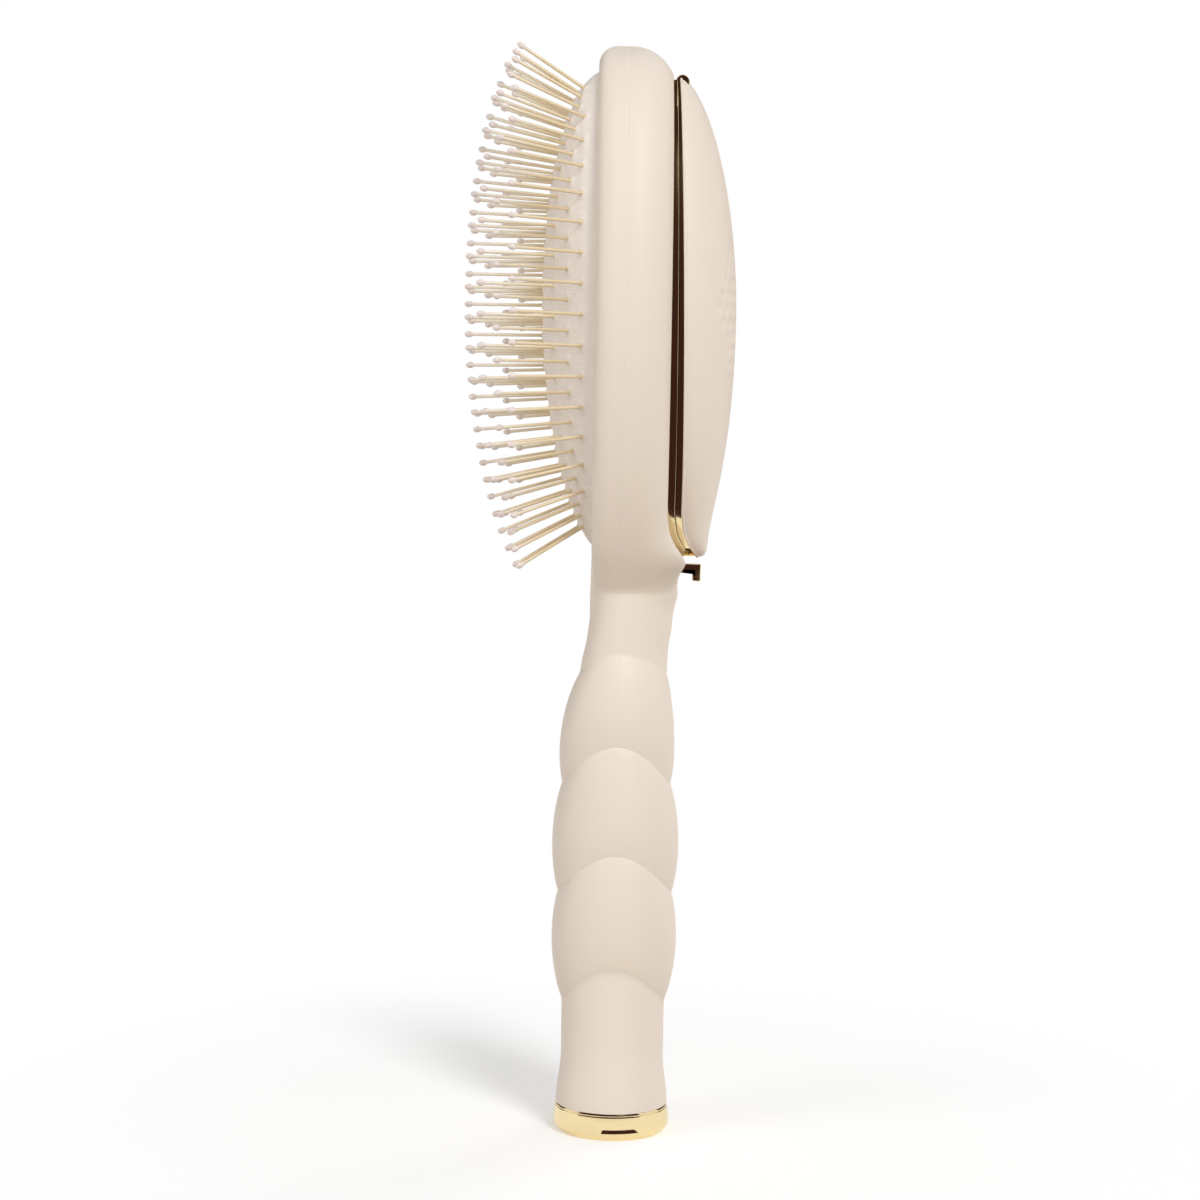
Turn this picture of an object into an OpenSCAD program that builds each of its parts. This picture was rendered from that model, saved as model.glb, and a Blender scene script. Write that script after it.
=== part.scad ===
// Detangling brush with a bubble handle, a pinned air cushion and a lidded compartment in its back.
// Millimetres. +Z runs up the handle, -Y is the bristle side and +Y is the back with the lid.
// The origin is the centre of the flat foot of the end cap.

/* [Handle] */
// Height of the metal end cap
cap_h = 6; // [4:0.5:12]
// Radius of the end cap at its widest
cap_r = 13; // [11.5:0.1:15]
// Length of the plain stem above the cap
stem_len = 27.5; // [22:0.5:36]
// Radius of the plain stem
stem_r = 11.45; // [10.5:0.05:12.5]
// Flare of the stem where it meets the cap
stem_flare = 1; // [0.3:0.1:1.2]
// Length of the lowest bubble
bubble_low_len = 24.6; // [20:0.1:30]
// Length of the middle bubble
bubble_mid_len = 24.1; // [20:0.1:30]
// Length of the top bubble
bubble_top_len = 22.1; // [18:0.1:28]
// Swell of the bubbles over the straight line between their creases
bubble_bulge = 1.75; // [0.8:0.05:2.4]
// Radius at the crease between the lowest and the middle bubble
crease_low_r = 12.65; // [11.5:0.05:13.5]
// Radius at the crease between the middle and the top bubble
crease_mid_r = 11.97; // [11:0.01:13]
// Rise of each crease at the two sides over its middle height
crease_rise = 4.6; // [0:0.1:6]

/* [Neck] */
// Half width of the neck, and its radius where it leaves the top bubble
neck_r = 9.65; // [8.8:0.05:11]
// Length of the neck, up to the lower tip of the head oval
neck_len = 15.7; // [13:0.1:22]
// Depth of the neck in front of the parting line
neck_front = 6.5; // [6:0.1:8]
// Depth of the neck behind the parting line at its foot
neck_back = 10.8; // [9.5:0.1:11.5]
// Depth of the shoulder behind the parting line under the lid's tip
shoulder_back = 14.4; // [13.6:0.1:15.4]

/* [Head] */
// Width of the head
head_w = 58; // [52:0.5:66]
// Length of the head oval
head_len = 119.8; // [112:0.2:135]
// Depth of the head in front of the parting line
head_front = 6.3; // [6:0.1:8]
// Depth of the head behind the parting line
head_back = 9.9; // [9:0.1:11.5]
// Radius of the front edge of the head
front_edge_r = 4; // [2.6:0.1:5]
// Radius of the back edge of the head
back_edge_r = 9.7; // [9.2:0.1:10.5]
// Wall of the two shells
wall = 2; // [1.5:0.1:2.4]

/* [Cushion] */
// Width of the rim between the head's edge and the cushion
rim_w = 6; // [5.8:0.1:7.5]
// Height of the cushion's crown over the rim
crown_h = 11.6; // [7:0.1:14]
// Thickness of the rubber
rubber_t = 1.6; // [1.2:0.1:2]
// Width of the flange that holds the cushion in the shell
flange_w = 1; // [0.8:0.1:1.4]
// Thickness of that flange
flange_t = 1.5; // [1:0.1:1.6]
// Thickness of the plate behind the cushion
plate_t = 2; // [1.6:0.1:2.2]

/* [Pins] */
// Length of a pin over the cushion, without its ball tip
pin_len = 15.6; // [10:0.2:18]
// Diameter of a pin
pin_d = 0.75; // [0.6:0.05:1.1]
// Diameter of a ball tip
tip_d = 1.4; // [1.2:0.1:2]
// Length of a ball tip
tip_len = 1.9; // [1.5:0.1:2.6]
// Distance between pin rows of the same kind at the middle of the pad
row_pitch = 6.6; // [6:0.1:7]
// Sideways lean of the outermost pins
lean_side = 29; // [10:1:34]
// Lengthwise lean of the end pins
lean_end = 32; // [10:1:34]

/* [Compartment] */
// Depth of the tray under its flange
tray_depth = 9.4; // [7:0.1:9.6]
// Wall of the tray
tray_wall = 1.2; // [0.8:0.1:1.4]
// Width of the metal bezel seen from behind
bezel_w = 2.2; // [1.8:0.1:2.6]
// Height of the metal bezel over the head's back
bezel_t = 1.7; // [1.3:0.05:2.1]

/* [Lid] */
// Height of the metal rim under the lid
lid_rim_t = 1.7; // [1.3:0.05:2.1]
// Height of the lid's crown over its edge
lid_crown_h = 11.7; // [10:0.1:15]
// Wall of the lid's cover
lid_wall = 1.8; // [1.4:0.1:2.2]
// Thickness of the lid's inner plate
liner_t = 1.2; // [0.8:0.1:1.6]
// Diameter of the hinge pin
hinge_pin_d = 1.4; // [1:0.1:1.6]
// Outer diameter of the hinge knuckles
knuckle_d = 3; // [2.8:0.1:3.2]
// Length of the lid's knuckle
knuckle_len = 5.6; // [4:0.1:6]

/* [Latch] */
// Width of the hook
hook_w = 7; // [5:0.1:8]
// Thickness of the hook's arm and leg
hook_t = 1.55; // [1.2:0.05:1.8]
// Reach of the hook behind the shoulder's peak
hook_reach = 3.5; // [3:0.1:5]
// Length of the hook's leg below its arm
hook_leg = 2.35; // [1.5:0.05:3]
// Travel of the latch
latch_travel = 2.5; // [1.5:0.1:2.6]

/* [Hidden] */
// Clearances
fit = 0.15;
soft_gap = 0.1;
part_gap = 0.3;
hinge_gap = 0.05;
over = 1;

// Levels along the handle, from the foot up
stem_z = cap_h;
crease_low_z = stem_z + stem_len;
crease_mid_z = crease_low_z + bubble_low_len;
crease_top_z = crease_mid_z + bubble_mid_len;
neck_z = crease_top_z + bubble_top_len;
head_z0 = neck_z + neck_len;
head_z1 = head_z0 + head_len;
stem_crease_r = stem_r + stem_flare / 10;

// Head oval: its widest level and its two half lengths
head_hw = head_w / 2;
head_up = head_len * 0.491;
head_c = head_z1 - head_up;
head_down = head_c - head_z0;
blend_power = 3;

// Shoulder between neck and head, as shares of its length and of its rise
shoulder_z1 = head_z0 + head_len * 0.15;
shoulder_len = shoulder_z1 - neck_z;
shoulder_rise = shoulder_back - neck_back;
back_shares = [
    [0, 0], [0.13, 0.05], [0.2, 0.14], [0.26, 0.25], [0.33, 0.31], [0.4, 0.44], [0.46, 0.6],
    [0.53, 0.56], [0.59, 0.68], [0.67, 1], [0.715, 0.82]
];
slope_shares = [[0.715, 0.82], [0.79, 0.42], [0.88, 0.12], [1, 0]];
front_shares = [[0, 0.8], [0.07, 0.65], [0.13, 0.45], [0.2, 0.22], [0.26, 0.1], [0.33, 0], [1, 0]];
section_shares = [0.36, 0.78];

// Columns of the shell's grid, from the centre line out to the parting line
cols = 8;
flat_shares = [1, 0.62, 0.32];
step_shares = [0, 0.12, 0.3, 0.5, 0.7, 0.88];
top_steps = 9;
low_shares = [0.84, 0.72, 0.6, 0.46, 0.32, 0.16, 0];
flare_share = 0.47;
flare_steps = 4;

// Bezel and lid ovals
bezel_c = head_c;
bezel_a = head_hw - rim_w + fit;
bezel_b = head_up - rim_w - fit;
bezel_in_a = bezel_a - bezel_w;
bezel_in_b = bezel_b - bezel_w;
cover_a = bezel_a + fit;
cover_b = bezel_b + 2 * fit;
seam_gap = fit;
taper_share = 0.5;
taper_z0 = bezel_c - bezel_b * 0.7;
taper_z1 = bezel_c + bezel_b;

// Cushion oval
pad_c = head_c + rim_w * 0.2;
pad_a = head_hw - rim_w;
pad_b = head_up - rim_w - rubber_t / 2;
flange_y1 = -(head_front - wall) + soft_gap + flange_t;
plate_y0 = flange_y1 + soft_gap;
plate_y1 = plate_y0 + plate_t;
plate_a = head_hw - wall - part_gap;
plate_b = head_up - wall - part_gap;

// Plate screws stand round the cushion's flange
plate_screws_at = [20, 62, 118, 160, 200, 235, 305, 340];
boss_r = 1.9;
screw_r = 0.8;
screw_head_r = 1.3;
screw_head_h = 0.9;
ring_a = pad_a + flange_w + boss_r * 0.6;
ring_b = pad_b + flange_w + boss_r * 0.6;

// Pins
head_disc_r = pin_d * 1.5;
head_disc_h = pin_d;
collar_r = pin_d * 0.8;
collar_h = pin_d * 0.55;
rows_below = -15;
rows_above = 17;
squeeze_share = 0.00155;
lean_powers = [2.3, 2.9];
pin_c = head_c - rim_w * 0.18;
pin_a = pad_a - pin_d * 2.7;
pin_b = pad_b - pin_d * 2;

// Tray
tray_a = bezel_in_a - 1.5 * tray_wall;
tray_b = bezel_in_b - 4.5 * tray_wall;
tray_flange_t = tray_wall * 0.8;
tray_y1 = head_back;
tray_y0 = tray_y1 - tray_depth;
tray_screws_at = [35, 145, 215, 325];
tray_screw_share = 0.62;

// Hinge across the top of the bezel
hinge_y = head_back + knuckle_d * 0.67;
hinge_z = bezel_c + bezel_b - knuckle_d * 0.67;
ear_len = knuckle_len * 0.46;
hinge_half = knuckle_len / 2 + fit + ear_len;
notch_half = hinge_half + part_gap;

// Lid plate, over the bezel's inner edge
liner_a = bezel_in_a - 2 * part_gap;
liner_b = bezel_in_b - 7 * part_gap;
liner_y0 = head_back + bezel_t + seam_gap + lid_rim_t / 2;
liner_y1 = liner_y0 + liner_t;
post_at = [30, 150, 210, 330];
post_share = 0.66;
post_r = 2.2;

// Latch slide inside the neck
hook_arm_z1 = bezel_c - bezel_b - hook_t;
hook_arm_z0 = hook_arm_z1 - hook_t;
hook_y1 = shoulder_back + hook_reach;
bar_y0 = head_back - wall - 1.35 * hook_t;
bar_y1 = bar_y0 + 0.95 * hook_t;
bar_half = hook_w * 0.43;
bar_z1 = hook_arm_z1 + 3.3 * hook_t;
bar_z0 = bar_z1 - 9 * hook_t;
bite = hook_t * 0.5;
barb_z0 = bar_z1 - bite;
barb_h = hook_t * 1.1;
tongue_z0 = barb_z0 + barb_h;
tongue_half = bar_half * 0.8;
barb_y1 = bar_y0 - part_gap;
barb_y0 = barb_y1 - barb_h;
catch_len = 5 * hook_t;

// Latch spring and its guide
spring_len = 5.2 * hook_t;
spring_z0 = bar_z0 - spring_len;
spring_r = hook_t;
spring_y = bar_y0 + spring_r;
spring_wire = spring_r * 0.25;
guide_wall = hook_t;
guide_y1 = bar_y0 - fit;
guide_y0 = guide_y1 - guide_wall;
guide_z0 = spring_z0 - guide_wall;
guide_z1 = hook_arm_z0;
guide_screw_shares = [0.22, 0.72];
guide_boss_r = 3 * screw_r;

// Pegs that line the shells up
peg_r = 1.2;
peg_half = neck_r * 0.6;
peg_boss_r = 2.5 * peg_r;
peg_at = [
    (crease_low_z + crease_mid_z) / 2,
    (crease_mid_z + crease_top_z) / 2,
    (crease_top_z + neck_z) / 2
];

// End cap and plug
cap_ring_h = cap_h * 0.1;
cap_wall = wall * 0.8;
plug_len = stem_len * 0.42;
plug_r = stem_r - wall - fit;
plug_in_r = plug_r - wall;
stud_r = plug_in_r - fit;
stud_z1 = stem_z + plug_len * 0.6;

// Colours
shell_tone = [0.91, 0.86, 0.79];
rubber_tone = [0.9, 0.86, 0.83];
gold_tone = [0.87, 0.76, 0.5];
pin_tone = [0.84, 0.77, 0.62];
tip_tone = [0.91, 0.86, 0.85];
inner_tone = [0.82, 0.77, 0.7];
steel_tone = [0.7, 0.7, 0.72];

// Small helpers
function mix(a, b, t) = a + (b - a) * t;
function clamp01(t) = min(1, max(0, t));
function ease(t) = let (c = clamp01(t)) c * c * (3 - 2 * c);
function norm3(a, b) = pow(pow(a, blend_power) + pow(b, blend_power), 1 / blend_power);
function oval(a, b, n = 72) = [for (k = [0:n - 1]) [a * cos(360 * k / n), b * sin(360 * k / n)]];

// Handle: swell of a bubble, and its radius at a level along the handle's own rows
function swell(t) = bubble_bulge * pow(max(0, 4 * t * (1 - t)), 0.85);
function bubble(s, z0, z1, r0, r1) = let (t = (s - z0) / (z1 - z0)) mix(r0, r1, t) + swell(t);
function handle_r(s) =
    s < crease_low_z ? let (t = clamp01((s - stem_z) / (stem_len * flare_share)))
        stem_r + stem_flare * (1 + cos(180 * t)) / 2 :
    s < crease_mid_z ? bubble(s, crease_low_z, crease_mid_z, stem_crease_r, crease_low_r) :
    s < crease_top_z ? bubble(s, crease_mid_z, crease_top_z, crease_low_r, crease_mid_r) :
    bubble(s, crease_top_z, neck_z, crease_mid_r, neck_r);

// The neck sits a little behind the handle's axis, and the top bubble leans over to meet it
neck_shift = neck_back - neck_r;
function shift(s) = neck_shift * pow(clamp01((s - crease_top_z) / (neck_z - crease_top_z)), 3);

// Saddle of the creases: how far a row rises at the sides and drops at front and back
function saddle(s) = crease_rise * lookup(s, [
    [stem_z, 0], [crease_low_z, 0.88], [crease_mid_z, 1.04], [crease_top_z, 0.99],
    [neck_z, 0.5], [head_z0, 0]
]);

// Half width and depths of the body at a level
function head_half(z) = z <= head_z0 ? 0 : head_hw * sqrt(max(0, 1 - pow((head_c - z) / head_down, 2)));
function body_w(s) = s <= neck_z ? handle_r(s) : norm3(neck_r, head_half(s));
function neck_t(s) = clamp01((s - neck_z) / shoulder_len);
function back_line(s) = let (t = neck_t(s), knee = slope_shares[0])
    t < knee[0] ? neck_back + shoulder_rise * lookup(t, back_shares) :
    head_back + (neck_back + knee[1] * shoulder_rise - head_back) / knee[1] * lookup(t, slope_shares);
function body_back(s) = s <= neck_z ? handle_r(s) + shift(s) : back_line(s);
function body_front(s) = s <= neck_z ? handle_r(s) - shift(s) :
    neck_front + (neck_r - neck_shift - neck_front) / front_shares[0][1] * lookup(neck_t(s), front_shares);
function head_share(s) = ease((neck_t(s) - section_shares[0]) / (section_shares[1] - section_shares[0]));

// Head section as [inset from the edge, depth], from the centre line (0) to the parting line
function front_profile(j, t) = let (r = front_edge_r - t, d = head_front - front_edge_r)
    j < 3 ? [(head_hw - t) * flat_shares[j], d + r] :
    j < 7 ? [r * (1 - sin(30 * (j - 3))), d + r * cos(30 * (j - 3))] :
    [0, d * (cols - j) / 2];
function back_profile(j, t, back) = let (
        base = back_edge_r * 0.1,
        r = back_edge_r - t,
        top = head_back - t - base,
        a0 = acos(min(1, top / r)),
        a = a0 + (90 - a0) * (j - 3) / 4,
        k = (back - t - base) / top)
    j < 3 ? [(head_hw - t) * flat_shares[j], back - t] :
    j < cols ? [r * (1 - sin(a)), base + r * cos(a) * k] :
    [0, 0];

// One point of the body's skin, t inside it. A row is [level, angle round the crown]
function skin_point(row, j, side, t) = let (
        s = row[0], th = row[1],
        w = body_w(s) - t,
        fi = 90 * (1 - j / cols),
        depth = (side < 0 ? body_front(s) : body_back(s)) - t,
        h = side < 0 ? front_profile(j, t) : back_profile(j, t, body_back(s)),
        m = head_share(s),
        round_point = [w * cos(fi), side * depth * sin(fi), s + saddle(s) * cos(2 * fi)],
        head_x = w * (1 - h[0] / (head_hw - t)) * sin(th),
        head_y = side * h[1],
        head_z = th < 90 ? head_c + (head_up - t - h[0]) * cos(th) : s)
    mix(round_point, [head_x, head_y, head_z], m);

// Rows of the skin from the cap up to the crown
rows = concat(
    [for (k = [0:flare_steps - 1]) [stem_z + stem_len * flare_share * k / flare_steps, 90]],
    [for (k = [0:1]) [stem_z + stem_len * mix(flare_share, 1, k / 2), 90]],
    [for (t = step_shares) [mix(crease_low_z, crease_mid_z, t), 90]],
    [for (t = step_shares) [mix(crease_mid_z, crease_top_z, t), 90]],
    [for (t = step_shares) [mix(crease_top_z, neck_z, t), 90]],
    [for (p = back_shares) [neck_z + shoulder_len * p[0], 90]],
    [for (k = [1:3]) [neck_z + shoulder_len * slope_shares[k][0], 90]],
    [for (t = low_shares) [mix(head_c, shoulder_z1, t), 90]],
    [for (k = [1:top_steps]) [head_c, 90 * (1 - k / top_steps)]]
);
last = len(rows) - 1;
layer = (last + 1) * (cols + 1);

// Half shell: outer and inner skin on both sides of the centre line, joined along the parting line
function shell_points(side) = [
    for (sx = [1, -1]) for (t = [0, wall]) for (row = rows) for (j = [0:cols])
        let (p = skin_point(row, j, side, t)) [sx * (row[1] == 0 || j == 0 ? 0 : p[0]), p[1], p[2]]
];
function id(h, lay, i, j) = ((j == 0 || i == last) ? 0 : h * 2 * layer) + lay * layer + i * (cols + 1) + j;
function quad(a, b, c, d, flip) = flip ? [[a, d, b], [b, d, c]] : [[a, b, d], [b, c, d]];

module half_shell(side) {
    skin = [
        for (h = [0, 1]) for (lay = [0, 1]) for (i = [0:last - 1]) for (j = [0:cols - 1])
            each quad(id(h, lay, i, j), id(h, lay, i, j + 1), id(h, lay, i + 1, j + 1),
                id(h, lay, i + 1, j), (h + lay + (side < 0 ? 1 : 0)) % 2 == 1)
    ];
    seam = [
        for (h = [0, 1]) for (i = [0:last - 1])
            each quad(id(h, 0, i, cols), id(h, 1, i, cols), id(h, 1, i + 1, cols),
                id(h, 0, i + 1, cols), (h + (side < 0 ? 1 : 0)) % 2 == 1)
    ];
    foot = [
        for (h = [0, 1]) for (j = [0:cols - 1])
            each quad(id(h, 0, 0, j), id(h, 1, 0, j), id(h, 1, 0, j + 1),
                id(h, 0, 0, j + 1), (h + (side < 0 ? 1 : 0)) % 2 == 1)
    ];
    polyhedron(points = shell_points(side), faces = concat(skin, seam, foot), convexity = 8);
}

// Slab between two depths with an oval outline, and a bar along Y
module slab(a, b, c, y0, y1) {
    translate([0, y1, c])
        rotate([90, 0, 0])
            linear_extrude(y1 - y0)
                polygon(oval(a, b));
}

module rod_y(r, x, z, y0, y1, sides = 32) {
    translate([x, y0, z])
        rotate([-90, 0, 0])
            cylinder(r = r, h = y1 - y0, $fn = sides);
}

module rod_x(r, half, y, z, sides = 32) {
    translate([-half, y, z])
        rotate([0, 90, 0])
            cylinder(r = r, h = 2 * half, $fn = sides);
}

module block(x, y0, y1, z0, z1) {
    translate([-x, y0, z0])
        cube([2 * x, y1 - y0, z1 - z0]);
}

// Screw along Y with its head outwards: dir 1 puts the head on the +Y side of seat
module screw(x, z, seat, len, dir) {
    translate([x, seat, z])
        rotate([dir > 0 ? 90 : -90, 0, 0])
            rotate_extrude($fn = 24)
                polygon([
                    [0, -screw_head_h], [screw_head_r, -screw_head_h], [screw_head_r, 0],
                    [screw_r, 0], [screw_r, len - screw_r], [0, len]
                ]);
}

// Closed solid over a stack of rings, with a point at each end when it is given
module stack(rings, first, tail) {
    n = len(rings[0]);
    m = len(rings);
    points = concat([for (r = rings) each r], [first, tail]);
    walls = [
        for (i = [0:m - 2]) for (k = [0:n - 1])
            each quad(i * n + k, i * n + (k + 1) % n, (i + 1) * n + (k + 1) % n, (i + 1) * n + k, false)
    ];
    ends = concat(
        [for (k = [0:n - 1]) [m * n, (k + 1) % n, k]],
        [for (k = [0:n - 1]) [m * n + 1, (m - 1) * n + k, (m - 1) * n + (k + 1) % n]]
    );
    polyhedron(points = points, faces = concat(walls, ends), convexity = 6);
}

// Closed band that runs round an oval, from a ring of cross sections
module band(sections) {
    n = len(sections);
    m = len(sections[0]);
    walls = [
        for (k = [0:n - 1]) for (i = [0:m - 1])
            each quad(k * m + i, k * m + (i + 1) % m, ((k + 1) % n) * m + (i + 1) % m,
                ((k + 1) % n) * m + i, true)
    ];
    polyhedron(points = [for (s = sections) each s], faces = walls, convexity = 6);
}

// Cushion: height of the crown at a share of the way out, in a direction round the oval
function crown_power(a) = 2 + 0.4 * max(0, sin(a));
function side_power(a) = 0.8 - 0.2 * max(0, sin(a));
function crown(p, a) = pow(max(0, 1 - pow(p, crown_power(a))), side_power(a));
function crown_at(x, z) = let (u = x / pad_a, v = (z - pad_c) / pad_b)
    crown_h * crown(min(1, norm([u, v])), atan2(v, u));
pad_sides = 40;
function pad_ring(a, b, p, y, h) = [
    for (k = [0:pad_sides - 1]) let (g = 360 * k / pad_sides)
        [a * p * cos(g), -(y + h * crown(p, g)), pad_c + b * p * sin(g)]
];

module cushion() {
    shares = [0.18, 0.36, 0.53, 0.68, 0.8, 0.89, 0.95, 0.985, 1];
    a_in = pad_a - rubber_t;
    b_in = pad_b - rubber_t;
    a_out = pad_a + flange_w;
    b_out = pad_b + flange_w;
    y_flange = -flange_y1 + flange_t;
    outer = [for (p = shares) pad_ring(pad_a, pad_b, p, head_front, crown_h)];
    skirt = [
        pad_ring(pad_a, pad_b, 1, y_flange, 0), pad_ring(a_out, b_out, 1, y_flange, 0),
        pad_ring(a_out, b_out, 1, -flange_y1, 0), pad_ring(a_in, b_in, 1, -flange_y1, 0)
    ];
    inner = [
        for (k = [len(shares) - 1:-1:0])
            pad_ring(a_in, b_in, shares[k], head_front - rubber_t / 2, crown_h - rubber_t / 2)
    ];
    color(rubber_tone)
        stack(concat(outer, skirt, inner),
            [0, -(head_front + crown_h), pad_c], [0, -(head_front + crown_h - rubber_t), pad_c]);
}

// Pins: six and three to a row in turn, with rows that squeeze together towards both ends
function pin_z(n) = pin_c + row_pitch * n * (1 - squeeze_share * n * n);
function pin_edge(z) = pin_a * sqrt(max(0, 1 - pow((z - pad_c) / pin_b, 2)));
function columns(n, edge) = let (inner = edge > row_pitch * 0.8)
    n % 2 == 1 ? (inner ? 3 : 1) : edge > row_pitch * 1.65 ? 6 : inner ? 4 : 2;
pin_places = [
    for (n = [rows_below:rows_above])
        let (z = pin_z(n / 2), edge = pin_edge(z), count = columns(abs(n), edge))
            for (k = [0:count - 1])
                let (share = count == 1 ? 0 : 2 * k / (count - 1) - 1)
                    [share * edge * (count < 5 ? 0.84 : 1), z, n / (n < 0 ? -rows_below : rows_above)]
];

module at_pin(p) {
    x = p[0];
    z = p[1];
    lean = lean_end * pow(abs(p[2]), lean_powers[p[2] < 0 ? 0 : 1]) * sign(p[2]);
    translate([x, -(head_front + crown_at(x, z)), z])
        rotate([90 - lean, 0, lean_side * x / pin_a])
            children();
}

module pins() {
    r = pin_d / 2;
    root = -(rubber_t + head_disc_h + r);
    color(pin_tone)
        for (p = pin_places)
            at_pin(p)
                rotate_extrude($fn = 16)
                    polygon([
                        [0, root], [head_disc_r, root], [head_disc_r, root + head_disc_h],
                        [r, root + head_disc_h], [r, -collar_h], [collar_r, -collar_h],
                        [collar_r, collar_h / 2], [r, collar_h], [r, pin_len], [0, pin_len]
                    ]);
}

module pin_tips() {
    r = pin_d / 2;
    a0 = asin(r / (tip_d / 2));
    a1 = a0 / 2;
    steps = 6;
    outline = [
        for (k = [0:steps]) let (a = mix(180 - a0, a1, k / steps))
            [tip_d / 2 * sin(a), tip_len / 2 * cos(a)]
    ];
    lift = tip_len / 2 * cos(a0);
    color(tip_tone)
        for (p = pin_places)
            at_pin(p)
                translate([0, 0, pin_len + lift])
                    rotate_extrude($fn = 16)
                        polygon(concat([[0, -lift]], outline, [[0, tip_len / 2 * cos(a1)]]));
}

// Front shell: bristle side of the whole body
module plate_screw_at(a) {
    translate([ring_a * cos(a), 0, pad_c + ring_b * sin(a)])
        children();
}

module front_shell() {
    seat_y = plate_y0;
    color(shell_tone)
        difference() {
            union() {
                half_shell(-1);
                difference() {
                    for (a = plate_screws_at)
                        plate_screw_at(a)
                            rod_y(boss_r, 0, 0, -head_front + wall / 2, seat_y);
                    slab(pad_a + flange_w + fit, pad_b + flange_w + fit, pad_c, -head_front, 0);
                }
                for (z = peg_at)
                    rod_y(peg_boss_r, 0, z, -(handle_r(z + saddle(z)) - wall / 2), -fit);
                for (t = guide_screw_shares)
                    rod_y(guide_boss_r, 0, mix(guide_z0, guide_z1, t),
                        -(neck_front - wall / 2), guide_y0);
            }
            slab(pad_a + soft_gap, pad_b + soft_gap, pad_c,
                -head_front - over, -head_front + wall + over / 4);
            for (a = plate_screws_at)
                plate_screw_at(a)
                    rod_y(screw_r, 0, 0, -head_front + wall / 2, over);
            for (z = peg_at)
                rod_y(peg_r, 0, z, -peg_half, over);
            for (t = guide_screw_shares)
                rod_y(screw_r, 0, mix(guide_z0, guide_z1, t), -neck_front + wall, guide_y0 + over);
        }
}

// Rear shell: back of the whole body, with the well for the tray and the slot for the hook
module rear_shell() {
    color(shell_tone)
        difference() {
            union() {
                half_shell(1);
                for (z = peg_at)
                    rod_y(peg_boss_r, 0, z, fit, handle_r(z + saddle(z)) - wall / 2);
            }
            slab(tray_a + fit, tray_b + fit, bezel_c, tray_y1 - wall - over, tray_y1 + over);
            slab(bezel_in_a, bezel_in_b, bezel_c, tray_y1, shoulder_back + over);
            block(bar_half + fit, tray_y1 - wall - over, tray_y1 + over,
                barb_z0 - 2 * part_gap, bezel_c - tray_b + over);
            block(hook_w / 2 + part_gap, bar_y1 + over, hook_y1,
                hook_arm_z0 - latch_travel - fit, hook_arm_z1 + fit);
            for (z = peg_at)
                rod_y(peg_r, 0, z, -over, peg_half);
        }
}

module alignment_pegs() {
    color(steel_tone)
        for (z = peg_at)
            rod_y(peg_r, 0, z, -peg_half, peg_half);
}

// Plate that closes the cushion and carries the tray
module backing_plate() {
    post_y1 = tray_y0;
    color(inner_tone)
        difference() {
            union() {
                slab(plate_a, plate_b, bezel_c, plate_y0, plate_y1);
                for (a = tray_screws_at)
                    rod_y(post_r, tray_a * tray_screw_share * cos(a),
                        bezel_c + tray_b * tray_screw_share * sin(a), plate_y1 - over / 2, post_y1);
            }
            for (a = plate_screws_at)
                plate_screw_at(a)
                    rod_y(screw_r, 0, 0, plate_y0 - over, plate_y1 + over);
            for (a = tray_screws_at)
                rod_y(screw_r, tray_a * tray_screw_share * cos(a),
                    bezel_c + tray_b * tray_screw_share * sin(a), plate_y0 - over, post_y1 + over);
            rod_y(screw_r, 0, bezel_c, plate_y0 - over, plate_y1 + over);
        }
}

module plate_screws() {
    color(steel_tone)
        for (a = plate_screws_at)
            plate_screw_at(a)
                screw(0, 0, plate_y1, head_front - wall / 2 + plate_y1 - fit, 1);
}

// Tray of the compartment: a tub with a flange that lies in the bezel
module compartment_tray() {
    color(inner_tone)
        difference() {
            union() {
                slab(tray_a, tray_b, bezel_c, tray_y0, tray_y1);
                slab(bezel_in_a - fit, bezel_in_b - fit, bezel_c, tray_y1, tray_y1 + tray_flange_t);
            }
            slab(tray_a - tray_wall, tray_b - tray_wall, bezel_c, tray_y0 + tray_wall, tray_y1 + over);
            for (a = tray_screws_at)
                rod_y(screw_r, tray_a * tray_screw_share * cos(a),
                    bezel_c + tray_b * tray_screw_share * sin(a), tray_y0 - over, tray_y0 + tray_wall + over);
            block(tongue_half + 2 * part_gap, tray_y1 - over / 2, tray_y1 + over + tray_flange_t,
                barb_z0 - 2 * part_gap, tongue_z0 + catch_len + part_gap);
            block(notch_half + knuckle_d / 2, tray_y1 - over / 2, tray_y1 + over + tray_flange_t,
                hinge_z - knuckle_d - part_gap, head_z1);
        }
}

module tray_screws() {
    color(steel_tone)
        for (a = tray_screws_at)
            screw(tray_a * tray_screw_share * cos(a), bezel_c + tray_b * tray_screw_share * sin(a),
                tray_y0 + tray_wall, tray_y0 + tray_wall - plate_y0, 1);
}

// Seat of the bezel on the head's back, and the level of the lid's edge over it
function taper(z) = 1 - taper_share * pow(clamp01((z - taper_z0) / (taper_z1 - taper_z0)), 1.35);
function seat_level(z) = z > shoulder_z1 ? head_back : back_line(z);
function bezel_top(z) = seat_level(z) + bezel_t * taper(z);
function rim_base(z) = bezel_top(z) + seam_gap;
function lid_edge(z) = rim_base(z) + lid_rim_t * taper(z);
band_steps = 60;
function band_section(g, a, b, w, y0, y1, bevel) = let (
        c = cos(g), s = sin(g),
        po = [a * c, bezel_c + b * s], pi = [(a - w) * c, bezel_c + (b - w) * s],
        pb = [(a - bevel) * c, bezel_c + (b - bevel) * s])
    [
        [po[0], y0, po[1]], [po[0], y1 - bevel, po[1]], [pb[0], y1, pb[1]],
        [pi[0], y1, pi[1]], [pi[0], y0, pi[1]]
    ];

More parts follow.
